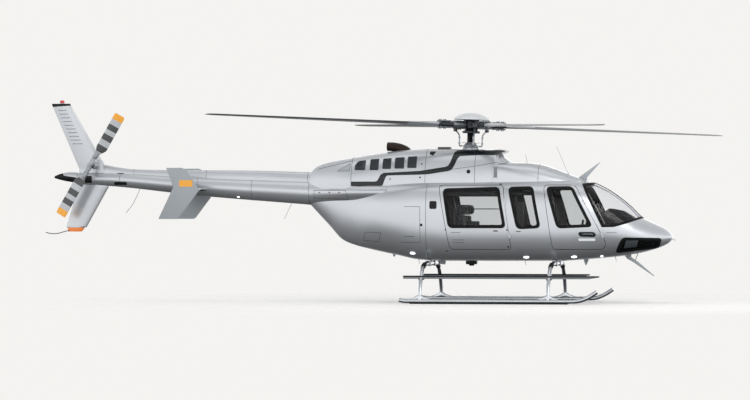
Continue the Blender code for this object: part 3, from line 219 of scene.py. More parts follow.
# %% The body's law
HULL_REAR, HULL_TIP, CABIN_REAR, NOSE_JOIN = -1.10, 5.08, 1.00, 4.07
WALL = 0.045
OUTSIDE = 0.95
FLOOR_TOP = 0.86
GAP = 0.0003
BLOCK_LIFT = 0.0004
HULL_TOP = [
    (-1.10, 2.07), (-0.5, 2.06), (3.50, 2.06), (3.71, 2.035), (3.94, 1.94), (4.16, 1.80),
    (4.38, 1.625), (4.56, 1.45), (4.71, 1.37), (4.88, 1.29), (4.98, 1.235), (5.05, 1.17), (5.08, 1.13),
]
HULL_BOTTOM = [
    (-1.10, 1.65), (-0.80, 1.33), (-0.53, 1.05), (-0.32, 0.965), (-0.09, 0.905), (0.39, 0.80),
    (0.84, 0.715), (1.30, 0.70), (3.17, 0.705), (3.63, 0.73), (4.25, 0.79), (4.58, 0.85),
    (4.88, 0.94), (5.00, 1.00), (5.06, 1.055), (5.08, 1.085),
]
HULL_MIDDLE = [
    (-1.10, 1.86), (-0.5, 1.62), (0.0, 1.50), (0.9, 1.40), (1.5, 1.36), (3.6, 1.36),
    (4.2, 1.23), (4.6, 1.13), (4.9, 1.10), (5.08, 1.108),
]
HULL_WIDTH = [
    (-1.10, 0.125), (-0.7, 0.235), (-0.3, 0.375), (0.0, 0.535), (0.2, 0.61), (0.7, 0.71), (1.2, 0.75),
    (2.0, 0.76), (3.0, 0.755), (3.5, 0.73), (3.9, 0.675), (4.3, 0.575), (4.6, 0.46), (4.85, 0.32), (5.0, 0.19),
    (5.06, 0.105), (5.08, 0.045),
]
HULL_UPPER_POWER = [
    (-1.10, 2.0), (-0.5, 2.4), (0.2, 3.0), (1.0, 3.8), (3.4, 3.8), (3.9, 2.8), (4.5, 2.2), (5.08, 2.0),
]
HULL_LOWER_POWER = [(-1.10, 2.0), (0.0, 2.2), (1.0, 2.8), (1.5, 3.0), (3.4, 3.0), (4.0, 2.6), (5.08, 2.0)]
RING_POINTS = 88


def smooth(table, x):
    """A monotone cubic through the table's points, so a bulge never overshoots them."""
    xs = [p[0] for p in table]
    ys = [p[1] for p in table]
    if x <= xs[0]:
        return ys[0]
    if x >= xs[-1]:
        return ys[-1]
    slopes = [(ys[i + 1] - ys[i]) / (xs[i + 1] - xs[i]) for i in range(len(xs) - 1)]

    def tangent(i):
        if i == 0 or i == len(xs) - 1:
            return slopes[0] if i == 0 else slopes[-1]
        before, after = slopes[i - 1], slopes[i]
        return 0.0 if before * after <= 0 else 2 * before * after / (before + after)

    i = next(k for k in range(len(xs) - 1) if xs[k] <= x <= xs[k + 1])
    span = xs[i + 1] - xs[i]
    t = (x - xs[i]) / span
    return (
        (1 + 2 * t) * (1 - t) ** 2 * ys[i]
        + t * (1 - t) ** 2 * span * tangent(i)
        + t * t * (3 - 2 * t) * ys[i + 1]
        + t * t * (t - 1) * span * tangent(i + 1)
    )


def power(value, exponent):
    return math.copysign(abs(value) ** exponent, value)


def turns_of(count, shift=0.5):
    """Even angles round a full turn; the shift is a share of one step."""
    return [2 * math.pi * (k + shift) / count for k in range(count)]


def column(rows, index):
    """One value of a table of rows, along the rows' first value."""
    return [(row[0], row[index]) for row in rows]


def hull_ring(x, inset=0.0):
    """The body's cross-section at x, drawn in by inset."""
    middle = smooth(HULL_MIDDLE, x)
    width = smooth(HULL_WIDTH, x) - inset
    above = smooth(HULL_TOP, x) - inset - middle
    below = middle - smooth(HULL_BOTTOM, x) - inset
    upper = 2 / smooth(HULL_UPPER_POWER, x)
    lower = 2 / smooth(HULL_LOWER_POWER, x)
    ring = []
    for angle in turns_of(RING_POINTS):
        rise = math.sin(angle)
        exponent, height = (upper, above) if rise > 0 else (lower, below)
        ring.append(Vector((x, width * power(math.cos(angle), exponent), middle + height * power(rise, exponent))))
    return ring


def skin_y(x, z, inset=0.0):
    """How far out the body's skin is at x and z."""
    middle = smooth(HULL_MIDDLE, x)
    if z > middle:
        n, height = smooth(HULL_UPPER_POWER, x), smooth(HULL_TOP, x) - inset - middle
    else:
        n, height = smooth(HULL_LOWER_POWER, x), middle - smooth(HULL_BOTTOM, x) - inset
    part = min(abs(z - middle) / height, 1.0)
    return (smooth(HULL_WIDTH, x) - inset) * (1 - part**n) ** (1 / n)


def stations(first, last, step=0.045):
    """Even places along X, ends included."""
    count = max(1, round((last - first) / step))
    return [first + (last - first) * i / count for i in range(count + 1)]


def hull_rings(first, last, inset=0.0, step=0.045):
    return [hull_ring(x, inset) for x in stations(first, last, step)]


print(f"cabin {2 * smooth(HULL_WIDTH, 2.0):.2f} m wide, skin at the door's middle {skin_y(2.0, 1.36):.3f} m out")

# %% [markdown]
# ## Tools for making meshes
# Skins are lofted by hand between unlike sections. Straight blocks, rods and turned shapes come from Blender's own
# operators. A boolean trims a skin with a block, and the result is kept as a plain mesh at the origin.

# %% Tools: pieces, lofts and blocks
SPARE = []


def piece(name, bm, spare=False):
    """The mesh as an object at the origin. A spare one only trims others and is removed at the end."""
    bmesh.ops.recalc_face_normals(bm, faces=bm.faces)
    mesh = bpy.data.meshes.new(name)
    bm.to_mesh(mesh)
    bm.free()
    obj = placed(name, mesh)
    if spare:
        SPARE.append(obj)
    return obj


def skin_faces(bm, rings):
    rows = [[bm.verts.new(p) for p in ring] for ring in rings]
    for low, high in zip(rows, rows[1:]):
        for i in range(len(low)):
            j = (i + 1) % len(low)
            bm.faces.new((low[i], low[j], high[j], high[i]))
    return rows


def loft(name, rings, spare=False):
    """A solid through unlike sections, with its two ends filled."""
    bm = bmesh.new()
    rows = skin_faces(bm, rings)
    bm.faces.new(rows[0])
    bm.faces.new(rows[-1])
    return piece(name, bm, spare)


def sleeve(name, outer, inner):
    """A wall between an outer and an inner run of sections, open at both ends."""
    bm = bmesh.new()
    out_rows = skin_faces(bm, outer)
    in_rows = skin_faces(bm, inner)
    for out_row, in_row in ((out_rows[0], in_rows[0]), (out_rows[-1], in_rows[-1])):
        for i in range(len(out_row)):
            j = (i + 1) % len(out_row)
            bm.faces.new((out_row[i], out_row[j], in_row[j], in_row[i]))
    return piece(name, bm)


def prism(name, outline, near, far, spare=True):
    """A straight block from an outline in X and Z, between two values of Y."""
    return loft(name, [[Vector((p[0], y, p[1])) for p in outline] for y in (near, far)], spare)


def box(name, low, high, spare=False):
    bm = bmesh.new()
    size = Vector(high) - Vector(low)
    place = Matrix.Translation((Vector(low) + Vector(high)) / 2) @ Matrix.Diagonal((*size, 1.0))
    bmesh.ops.create_cube(bm, size=1.0, matrix=place)
    return piece(name, bm, spare)


def settle(obj):
    """Keeps what the modifiers show as the piece's plain mesh."""
    bpy.context.view_layer.update()
    mesh = bpy.data.meshes.new_from_object(obj.evaluated_get(bpy.context.evaluated_depsgraph_get()))
    obj.modifiers.clear()
    obj.data = mesh
    return obj


def trim(obj, *others, operation="DIFFERENCE", solver="MANIFOLD"):
    """The piece with each of the others cut from it, joined to it or kept in common."""
    for other in others:
        step = obj.modifiers.new("trim", "BOOLEAN")
        step.operation = operation
        step.solver = solver
        step.object = other
    return settle(obj)


def round_edges(obj, width, segments=3):
    bevel = obj.modifiers.new("round_edges", "BEVEL")
    bevel.width = width
    bevel.segments = segments
    bevel.limit_method = "ANGLE"
    bevel.angle_limit = math.radians(30)
    return settle(obj)


def eased_box(name, low, high, width, segments=3):
    return round_edges(box(name, low, high), width, segments)


def dress(obj, material, body="airframe", stands_for=(), sharp=32.0):
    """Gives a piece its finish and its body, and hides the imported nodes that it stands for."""
    obj.data.materials.clear()
    obj.data.materials.append(material)
    obj.data.shade_smooth()
    obj.data.set_sharp_from_angle(angle=math.radians(sharp))
    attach(obj, body)
    if stands_for:
        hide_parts(*stands_for)
    print(f"{obj.name}: {len(obj.data.polygons)} faces")
    return obj


def in_silver(obj, node, body="airframe"):
    """Gives a skin the body paint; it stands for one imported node."""
    return dress(obj, PAINT, body, [node])


# %% Tools: outlines, rods, wings and turned shapes
def offset(points, inward):
    """The outline's corners moved inwards, each along its two edges' normals; further values are kept."""
    flat = [Vector(p[:2]) for p in points]
    count = len(flat)
    area = sum(flat[i].cross(flat[(i + 1) % count]) for i in range(count))
    turn = 1 if area > 0 else -1
    moved = []
    for i, here in enumerate(flat):
        before = (here - flat[i - 1]).normalized()
        after = (flat[(i + 1) % count] - here).normalized()
        n1 = Vector((-before.y, before.x)) * turn
        n2 = Vector((-after.y, after.x)) * turn
        shift = (n1 + n2) / (1 + n1.dot(n2)) * inward
        moved.append((here.x + shift.x, here.y + shift.y, *points[i][2:]))
    return moved


def rounded(points, radius, steps=8):
    """The outline with each corner turned by a short curve."""
    result = []
    for i, here in enumerate(points):
        here = Vector(here)
        ends = []
        for other in (Vector(points[i - 1]), Vector(points[(i + 1) % len(points)])):
            away = other - here
            ends.append(here + away * (min(radius, away.xy.length * 0.45) / away.xy.length))
        for k in range(steps + 1):
            t = k / steps
            result.append(ends[0] * (1 - t) ** 2 + here * 2 * t * (1 - t) + ends[1] * t * t)
    return result


def divided(outline, longest):
    """The outline with points added along its long edges."""
    result = []
    for i, here in enumerate(outline):
        following = outline[(i + 1) % len(outline)]
        pieces = math.ceil((following - here).xy.length / longest)
        result += [here.lerp(following, k / pieces) for k in range(pieces)]
    return result


def through(points, steps=6):
    """Points on a smooth curve through the given ones."""
    points = [Vector(p) for p in points]
    path = [points[0]]
    for i in range(len(points) - 1):
        p0, p1, p2 = points[max(i - 1, 0)], points[i], points[i + 1]
        p3 = points[min(i + 2, len(points) - 1)]
        for k in range(1, steps + 1):
            t = k / steps
            path.append(
                0.5 * ((2 * p1) + (p2 - p0) * t + (2 * p0 - 5 * p1 + 4 * p2 - p3) * t * t
                       + (3 * p1 - p0 - 3 * p2 + p3) * t**3)
            )
    return path


def tube(name, points, radius, sides=4, flow=True):
    """A round rod along a path: a bevelled curve with filled caps, made a mesh."""
    curve = bpy.data.curves.new(name, "CURVE")
    curve.dimensions = "3D"
    curve.bevel_depth = radius
    curve.bevel_resolution = sides
    curve.use_fill_caps = True
    route = through(points) if flow else [Vector(p) for p in points]
    spline = curve.splines.new("POLY")
    spline.points.add(len(route) - 1)
    for point, place in zip(spline.points, route):
        point.co = (*place, 1.0)
    helper = placed(name + "_path", curve)
    bpy.context.view_layer.update()
    mesh = bpy.data.meshes.new_from_object(helper.evaluated_get(bpy.context.evaluated_depsgraph_get()))
    bm = bmesh.new()
    bm.from_mesh(mesh)
    bmesh.ops.remove_doubles(bm, verts=bm.verts, dist=0.00005)
    bpy.data.objects.remove(helper, do_unlink=True)
    return piece(name, bm)


def turned(name, profile, steps=48, place=None, spare=False):
    """A profile of (radius, height) turned about Z; a profile that starts and ends on the axis is closed."""
    bm = bmesh.new()
    loop = profile if profile[0][0] < 1e-6 and profile[-1][0] < 1e-6 else profile + [profile[0]]
    verts = [bm.verts.new((r, 0.0, z)) for r, z in loop]
    edges = [bm.edges.new(pair) for pair in zip(verts, verts[1:])]
    bmesh.ops.spin(
        bm, geom=verts + edges, cent=(0, 0, 0), axis=(0, 0, 1), angle=2 * math.pi, steps=steps, use_merge=True,
    )
    bmesh.ops.remove_doubles(bm, verts=bm.verts, dist=0.00005)
    if place:
        bm.transform(place)
    return piece(name, bm, spare)


def rod_between(name, low, high, radius, sides=24, end_radius=None, spare=False):
    bm = bmesh.new()
    low, high = Vector(low), Vector(high)
    run = high - low
    place = Matrix.Translation((low + high) / 2) @ run.to_track_quat("Z", "Y").to_matrix().to_4x4()
    bmesh.ops.create_cone(
        bm, cap_ends=True, segments=sides, radius1=radius, radius2=radius if end_radius is None else end_radius,
        depth=run.length, matrix=place,
    )
    return piece(name, bm, spare)


def upright(name, x, y, low, high, radius, sides=6):
    """A rod along Z, six-sided like a bolt unless sides says otherwise."""
    return rod_between(name, (x, y, low), (x, y, high), radius, sides)


def joined(name, objs):
    """Several separate shapes as one piece."""
    bm = bmesh.new()
    for obj in objs:
        bm.from_mesh(obj.data)
        bpy.data.objects.remove(obj, do_unlink=True)
    mesh = bpy.data.meshes.new(name)
    bm.to_mesh(mesh)
    bm.free()
    return placed(name, mesh)


def wing_half(share, thickness):
    """Half the thickness of a symmetric wing section, at a share of its chord behind the nose."""
    return 5 * thickness * (
        0.2969 * math.sqrt(share) - 0.1260 * share - 0.3516 * share**2 + 0.2843 * share**3 - 0.1036 * share**4
    )


def aerofoil(chord, thickness, points=16, nose=0.30):
    """(along, across) points round a wing section, from the trailing edge over the top and back."""
    shares = [0.5 * (1 + math.cos(math.pi * i / points)) for i in range(points + 1)]
    upper = [(share, wing_half(share, thickness)) for share in shares]
    lower = [(share, -across) for share, across in reversed(upper[1:-1])]
    ring = [(upper[0][0], 0.04 * thickness)] + upper[1:] + lower + [(upper[0][0], -0.04 * thickness)]
    return [((nose - share) * chord, across * chord) for share, across in ring]


ARCH_POWER = 2.6


def arch(x, top, width, base, exponent=ARCH_POWER, points=48):
    """A cross-section that stands on a flat base, like a tunnel's."""
    ring = []
    for i in range(points + 1):
        angle = math.pi * i / points
        y = width * power(math.cos(angle), 2 / exponent)
        ring.append(Vector((x, y, base + (top - base) * power(math.sin(angle), 2 / exponent))))
    ring[0].z = base
    ring[-1].z = base
    return ring


print("tools ready")

# %% [markdown]
# ## Cabin shell
# The shell is one moulded skin with door, windscreen and nose openings. It could be a sheet with modifiers, but the
# openings' edges must show the real wall, so a lofted solid is trimmed with the same blocks that cut the doors out.
# Each block leans inwards with depth, because a door on an outside hinge has to swing clear of its frame.

# %% Doors and windows: outlines
# A door's corners are x, z and how far they lean forward and up with depth.
DOORS = {
    "aft": {
        "outline": [
            (1.205, 1.985, 1, 0), (2.300, 1.985, 0, 0), (2.448, 0.900, -0.15, 2.6), (1.400, 0.900, 1, 0.5),
        ],
        "window": [(1.300, 1.905), (2.220, 1.930), (2.335, 1.280), (1.400, 1.280)],
        "axis": ((2.448, 0.900), (2.300, 1.985)), "draft": 0.30, "out": 0.774, "inner": 0.49,
    },
    "middle": {
        "outline": [
            (2.334, 1.985, 1, 0), (2.940, 1.985, 0, 0), (3.100, 0.900, -0.08, 2.6), (2.482, 0.900, 1, 0.9),
        ],
        "window": [(2.405, 1.930), (2.790, 1.940), (2.920, 1.280), (2.555, 1.262)],
        "axis": ((3.100, 0.900), (2.940, 1.985)), "draft": 0.62, "out": 0.772, "inner": 0.49,
    },
    "crew": {
        "outline": [
            (2.974, 1.985, 1, 0), (3.470, 1.985, 0, 0), (3.545, 1.930, 0, 0), (4.028, 1.020, -1.5, 8.0),
            (3.985, 0.900, -1.5, 8.0), (3.740, 0.900, -0.2, 5.5), (3.134, 0.900, 1, 2.0),
        ],
        "window": [(3.045, 1.935), (3.455, 1.940), (3.780, 1.300), (3.230, 1.275)],
        "axis": ((4.028, 1.020), (3.545, 1.930)), "draft": 0.36, "out": 0.702, "inner": 0.42,
    },
}
LOW_DRAFT = 0.13
DOOR_GAP = 0.008
WINDOW_RADIUS = 0.07
PANE_DEPTHS, SEAL_DEPTHS, TINT_DEPTHS = (0.004, 0.012), (-0.0025, 0.0035), (0.0036, 0.0039)
WINDSHIELD = [
    (3.62, 2.000), (3.76, 2.022), (3.90, 2.30), (4.80, 1.60), (4.60, 1.437), (4.36, 1.345), (4.16, 1.288),
    (3.962, 1.283),
]
NOSE_REGION = [
    (NOSE_JOIN, 0.40), (5.40, 0.40), (5.40, 1.56), (4.66, 1.56), (4.60, 1.418), (4.36, 1.326), (4.16, 1.269),
    (NOSE_JOIN, 1.266),
]
CHIN_WINDOW = [(4.30, 1.085), (4.90, 1.075), (4.85, 0.945), (4.19, 0.865)]


def door_block(name, kind, side, inward, draft):
    """The block that a door fills, its edges leaning inwards with depth."""
    outline = divided(rounded(offset(DOORS[kind]["outline"], inward), 0.075 - inward), 0.06)
    rings = []
    for y in (DOORS[kind]["inner"] + (inward if inward > GAP else 0.0), OUTSIDE):
        ring = []
        for x, z, rear, low in outline:
            depth = skin_y(x, z) - y
            ring.append(Vector((x + rear * draft * depth, side * y, z + low * LOW_DRAFT * depth)))
        rings.append(ring)
    return loft(name, rings, True)


hull = loft("hull_block", hull_rings(HULL_REAR - 0.02, HULL_TIP, -BLOCK_LIFT), True)
cavity = loft("cabin_space", hull_rings(CABIN_REAR + WALL, 4.86, WALL), True)
trim(cavity, box("floor_slab", (0.5, -1.0, 0.5), (5.2, 1.0, FLOOR_TOP), True))
print("hull and cabin space ready")

# %% Cabin shell
shell = loft("cabin_shell", hull_rings(CABIN_REAR + GAP, 4.70))
trim(shell, cavity, prism("nose_region_gap", offset(NOSE_REGION, -GAP), -1.0, 1.0))
for side_name, side in SIDES.items():
    for kind, door in DOORS.items():
        fixed = kind == "middle" and side_name == "right"
        trim(shell, door_block(f"{kind}_opening_{side_name}", kind, side, 0.0, 0.0 if fixed else door["draft"]))
    trim(shell, prism(f"windshield_hole_{side_name}", WINDSHIELD, side * 0.03, side * OUTSIDE))
in_silver(shell, "cabin_frame")

# %% [markdown]
# ### Lining
# Inside, the same walls wear a dark grey moulded lining. No second mesh is needed: the faces that lie deeper than the
# skin get the lining's material.

# %% Lining
LINING = finish("grey_moulded_lining", "#2b2d30", "#232527", 0.72, 300, 2.5, 0.12, 0.05)
CARPET = finish("charcoal_loop_carpet", "#303336", "#232629", 0.95, 120, 4, 0.9, 0.04, Sheen_Weight=0.3)


def line_inside(obj, deeper=0.006):
    """Gives the faces under the skin the lining's material."""
    obj.data.materials.append(LINING)
    count = 0
    for face in obj.data.polygons:
        x, y, z = face.center
        within = smooth(HULL_BOTTOM, x) + deeper < z < smooth(HULL_TOP, x) - deeper
        if x < HULL_TIP and within and abs(y) < skin_y(x, z, deeper):
            face.material_index = 1
            count += 1
    print(f"{obj.name}: {count} lined faces")


line_inside(shell)
bm = bmesh.new()
FLOOR_STATIONS = stations(1.06, 4.60, 0.12)
rows = []
for x in FLOOR_STATIONS:
    half = skin_y(x, FLOOR_TOP, WALL + 0.006) if smooth(HULL_BOTTOM, x) + WALL < FLOOR_TOP - 0.01 else 0.05
    rows.append([bm.verts.new((x, side * half, FLOOR_TOP + lift)) for lift in (0.0004, 0.0055) for side in (-1, 1)])
for a, b in zip(rows, rows[1:]):
    for i, j in ((0, 1), (1, 3), (3, 2), (2, 0)):
        bm.faces.new((a[i], a[j], b[j], b[i]))
bm.faces.new([rows[0][i] for i in (0, 1, 3, 2)])
bm.faces.new([rows[-1][i] for i in (0, 1, 3, 2)])
dress(piece("cabin_carpet", bm), CARPET)

# %% [markdown]
# ## Doors, window panes and rubber seals
# A door is a curved panel cut from the same skin with a hole for its pane. The pane is a thin acrylic sheet bent to the
# skin. Its black seal is a flat band that stands a little proud all round, so it is cut from a thin sleeve of its own.
# A violet band runs along the windscreen's upper edge: a painted reflection, a thin tinted glass that stands in for the
# violet sheen the pane shows there.

# %% Doors and side windows
def skin_sleeve(name, x0, x1, outer, inner):
    return sleeve(name, hull_rings(x0, x1, outer), hull_rings(x0, x1, inner))


def pane_and_seal(label, body, outline, radius, reach, stands_for, glass=ACRYLIC, near=0.40, inside=0.030):
    """A pane in its hole, and the black band that overlaps hole and pane."""
    side = -1 if "right" in label else 1
    pane = skin_sleeve(f"{label}_pane", *reach, *PANE_DEPTHS)
    block = prism(f"{label}_pane_block", rounded(offset(outline, GAP), radius), side * near, side * OUTSIDE)
    trim(pane, block, operation="INTERSECT")
    dress(pane, glass, body, stands_for)
    band = skin_sleeve(f"{label}_seal", *reach, *SEAL_DEPTHS)
    wide = prism(f"{label}_band_block", rounded(offset(outline, -0.022), radius + 0.02), side * near, side * OUTSIDE)
    narrow = prism(f"{label}_band_hole", rounded(offset(outline, inside), max(radius - 0.02, 0.02)), side * 0.05, side)
    trim(band, wide, operation="INTERSECT")
    trim(band, narrow)
    dress(band, RUBBER, body)


# The violet band's tint is a painted reflection: it stands in for the pane's violet sheen.
PAINTED_SHEEN_GLASS = clear_glass("violet_painted_reflection_band", "#3d4497", 1.49)
for side_name, side in SIDES.items():
    for kind, door in DOORS.items():
        fixed = kind == "middle" and side_name == "right"
        node = "side_panel_right" if fixed else f"{kind}_door_{side_name}"
        body = "airframe" if fixed else node
        xs = [p[0] for p in door["outline"]]
        reach = (min(xs) - 0.09, max(xs) + 0.09)
        panel = skin_sleeve(f"{node}_skin", *reach, 0.0, WALL)
        block = door_block(f"{node}_block", kind, side, GAP if fixed else DOOR_GAP, 0.0 if fixed else door["draft"])
        trim(panel, block, operation="INTERSECT")
        trim(panel, prism(f"{node}_hole", rounded(door["window"], WINDOW_RADIUS), side * 0.40, side * OUTSIDE))
        in_silver(panel, node, body)
        line_inside(panel)
        pane_and_seal(
            f"{kind}_{side_name}", body, door["window"], WINDOW_RADIUS, reach, [f"{kind}_window_{side_name}"],
        )

# %% Windscreen and chin windows
SCREEN_REACH = (3.5, 4.75)
for side_name, side in SIDES.items():
    pane = skin_sleeve(f"screen_{side_name}_pane", *SCREEN_REACH, *PANE_DEPTHS)
    trim(
        pane, prism(f"screen_block_{side_name}", offset(WINDSHIELD, GAP), side * (0.03 + GAP), side * OUTSIDE),
        operation="INTERSECT",
    )
    dress(pane, SCREEN_ACRYLIC, "airframe", [f"windshield_{side_name}"])
    band = skin_sleeve(f"screen_{side_name}_seal", *SCREEN_REACH, *SEAL_DEPTHS)
    trim(
        band, prism(f"screen_band_{side_name}", offset(WINDSHIELD, -0.008), side * 0.022, side * OUTSIDE),
        operation="INTERSECT",
    )
    trim(band, prism(f"screen_band_hole_{side_name}", offset(WINDSHIELD, 0.030), side * 0.052, side))
    dress(band, RUBBER, "airframe")
    # Painted reflection: a violet tinted strip of glass where the windscreen shows a violet sheen.
    painted_sheen_band = skin_sleeve(f"screen_{side_name}_tint", *SCREEN_REACH, *TINT_DEPTHS)
    trim(
        painted_sheen_band, prism(f"tint_block_{side_name}", offset(WINDSHIELD, 0.020), side * 0.035, side * 0.235),
        operation="INTERSECT",
    )
    dress(painted_sheen_band, PAINTED_SHEEN_GLASS, "airframe")
    pane_and_seal(
        f"chin_{side_name}", "airframe", CHIN_WINDOW, 0.05, (4.1, 4.98), [f"chin_window_{side_name}"], SMOKED, 0.10,
        0.022,
    )

# %% [markdown]
# ## Nose
# The nose is a separate composite cap that meets the cabin at a vertical seam and the windscreen along its lower edge.

# %% Nose
NOSE_END = (4.97, 4.99, 5.01, 5.03, 5.045, 5.06, 5.07, HULL_TIP)
nose = loft("nose_cap", hull_rings(NOSE_JOIN - 0.02, 4.95) + [hull_ring(x) for x in NOSE_END])
trim(nose, prism("nose_block", NOSE_REGION, -1.0, 1.0), operation="INTERSECT")
trim(nose, cavity)
for side_name, side in SIDES.items():
    trim(nose, prism(f"chin_hole_{side_name}", rounded(CHIN_WINDOW, 0.05), side * 0.10, side * OUTSIDE))
in_silver(nose, "nose")
line_inside(nose)

# %% [markdown]
# ## Rear body
# Behind the cabin the pod narrows faster than the shoulder above it, which carries the boom's round section forward.
# Where the two meet there is a crease, so they are lofted apart and joined.

# %% Rear body
SHOULDER_MIDDLE, SHOULDER_HEIGHT = 1.862, 0.209
SHOULDER_WIDTH = [(-1.10, 0.212), (-0.7, 0.325), (-0.3, 0.465), (0.0, 0.535), (0.30, 0.560)]


def shoulder_ring(x, grow=0.0):
    half, high = smooth(SHOULDER_WIDTH, x) + grow, SHOULDER_HEIGHT + grow
    return [Vector((x, half * math.cos(t), SHOULDER_MIDDLE + high * math.sin(t))) for t in turns_of(72)]


shoulder = loft("shoulder_block", [shoulder_ring(x, BLOCK_LIFT) for x in stations(HULL_REAR, 0.30)], True)
rear = loft("rear_body", hull_rings(HULL_REAR, CABIN_REAR))
trim(rear, loft("shoulder_skin", [shoulder_ring(x) for x in stations(HULL_REAR, 0.30)], True), operation="UNION")
in_silver(rear, "rear_fuselage")

# %% [markdown]
# ## Cowlings
# Three cowls stand on the roof: a fairing towards the boom, the engine cowl with its screens, and the transmission cowl
# whose front ends in an overhanging lip. All are thin shells on a tunnel-like section, so one law serves them too.

# %% Cowlings
COWL_BASE, COWL_WALL = 1.92, 0.018
COWL_FRONT = 2.24
AFT_JOIN, ENGINE_JOIN = -0.33, 0.95
COWL_TOP = [
    (-1.10, 2.21), (-1.00, 2.30), (-0.80, 2.375), (-0.39, 2.45), (-0.02, 2.51), (0.58, 2.585),
    (1.00, 2.60), (2.12, 2.588), (2.16, 2.54), (2.20, 2.44), (2.24, 2.33),
]
COWL_WIDTH = [
    (-1.10, 0.15), (-0.90, 0.25), (-0.33, 0.42), (0.2, 0.47), (0.9, 0.50), (1.8, 0.49), (2.24, 0.45),
]
LIP_ROWS = [
    (1.95, 2.587, 0.33, 2.52), (2.12, 2.590, 0.31, 2.50), (2.21, 2.584, 0.275, 2.525), (2.28, 2.566, 0.225, 2.552),
]
HUMP_TOP = [
    (2.20, 2.365), (2.64, 2.36), (2.85, 2.335), (3.10, 2.26), (3.35, 2.165), (3.53, 2.10), (3.68, 2.05),
    (3.72, 2.03),
]
HUMP_WIDTH = [(2.10, 0.478), (2.24, 0.474), (2.64, 0.446), (3.10, 0.38), (3.50, 0.28), (3.72, 0.16)]
HUMP_BASE, FRONT_BASE = 1.98, 2.02
HUMP_POWER = [(2.10, 5.5), (2.24, 5.0), (2.64, 3.2), (3.10, 2.6), (3.72, 2.5)]
FRONT_ROWS = [
    (2.04, 2.565, 0.440), (2.12, 2.550, 0.430), (2.18, 2.515, 0.415), (2.24, 2.465, 0.400), (2.30, 2.415, 0.385),
    (2.35, 2.380, 0.365), (2.40, 2.358, 0.340),
]


def cowl_ring(x, grow=0.0, base=COWL_BASE):
    return arch(x, smooth(COWL_TOP, x) + grow, smooth(COWL_WIDTH, x) + grow, base)


def cowl_rings(first, last, inset=0.0, base=COWL_BASE):
    steep = [x for x in (2.12, 2.14, 2.16, 2.18, 2.20, 2.22, 2.24) if x <= last]
    return [cowl_ring(x, -inset, base) for x in stations(first, min(last, 2.10)) + steep]


def cowl_y(x, z, inset=0.0):
    """How far out the cowls' skin is at x and z."""
    height = smooth(COWL_TOP, x) - inset - COWL_BASE
    part = min(max((z - COWL_BASE) / height, 0.0), 1.0)
    return (smooth(COWL_WIDTH, x) - inset) * (1 - part**ARCH_POWER) ** (1 / ARCH_POWER)


def hump_ring(x, grow=0.0):
    return arch(x, smooth(HUMP_TOP, x) + grow, smooth(HUMP_WIDTH, x) + grow, HUMP_BASE, smooth(HUMP_POWER, x))


def lip_rings(grow=0.0):
    return [arch(x, top + grow, half + grow, base - grow) for x, top, half, base in LIP_ROWS]


cowl_block = loft("cowl_block", cowl_rings(HULL_REAR, COWL_FRONT, -BLOCK_LIFT), True)
cowl_space = loft("cowl_space", cowl_rings(-0.95, 2.08, COWL_WALL, COWL_BASE - 0.05), True)
aft_fairing = loft("aft_fairing_skin", cowl_rings(HULL_REAR, AFT_JOIN - 0.004))
engine_cowl = loft("engine_cowl_skin", cowl_rings(AFT_JOIN, ENGINE_JOIN - 0.004))
gear_cowl = loft("transmission_cowl_skin", cowl_rings(ENGINE_JOIN, COWL_FRONT))
for cowl in (aft_fairing, engine_cowl, gear_cowl):
    trim(cowl, cowl_space, hull)
trim(aft_fairing, shoulder)
trim(engine_cowl, shoulder)
lip = loft("lip_block", lip_rings(), True)
trim(gear_cowl, lip, operation="UNION", solver="EXACT")
print("cowls lofted")

# %% [markdown]
# ### Screens in the engine cowl
# Five flat openings let cooling air through. Each is cut through the cowl and closed by a dark woven screen set a few
# millimetres in, behind a row of thin slats. Slats repeat along a line, which is a task for Geometry Nodes.

# %% Screen openings
GRILLES = [
    [(-0.275, 2.235), (-0.085, 2.235), (-0.085, 2.405), (-0.205, 2.395), (-0.275, 2.320)],
    [(-0.010, 2.235), (0.145, 2.235), (0.145, 2.430), (-0.010, 2.420)],
    [(0.210, 2.255), (0.360, 2.255), (0.360, 2.440), (0.210, 2.432)],
    [(0.420, 2.260), (0.585, 2.260), (0.585, 2.455), (0.420, 2.447)],
    [(0.640, 2.270), (0.800, 2.270), (0.800, 2.470), (0.640, 2.463)],
]
screens = []
for number, outline in enumerate(GRILLES):
    for side_name, side in SIDES.items():
        label = f"screen_{number}_{side_name}"
        trim(engine_cowl, prism(label + "_hole", rounded(outline, 0.016, 4), side * 0.15, side * 0.8))
        mesh_panel = sleeve(label, cowl_rings(-0.32, 0.90, 0.013), cowl_rings(-0.32, 0.90, 0.0155))
        block = prism(label + "_block", rounded(offset(outline, GAP), 0.016, 4), side * 0.15, side * 0.8)
        screens.append(trim(mesh_panel, block, operation="INTERSECT"))
dress(joined("cowl_screens", screens), GRILLE_MESH)

# %% A tree that lays bars along paths
def new_tree(name, inputs):
    """An empty geometry tree with named inputs; gives the tree and its input and output nodes."""
    tree = bpy.data.node_groups.new(name, "GeometryNodeTree")
    tree.interface.new_socket("Geometry", in_out="INPUT", socket_type="NodeSocketGeometry")
    for label, kind in inputs:
        tree.interface.new_socket(label, in_out="INPUT", socket_type=kind)
    tree.interface.new_socket("Geometry", in_out="OUTPUT", socket_type="NodeSocketGeometry")
    return tree, tree.nodes.new("NodeGroupInput").outputs, tree.nodes.new("NodeGroupOutput")


def grow(obj, tree, **values):
    """Runs a tree on a piece with its named inputs set, and keeps the result as a plain mesh."""
    step = obj.modifiers.new(tree.name, "NODES")
    step.node_group = tree
    names = {item.name: item.identifier for item in tree.interface.items_tree if item.in_out == "INPUT"}
    for label, value in values.items():
        step[names[label.replace("_", " ")]] = value
    return settle(obj)


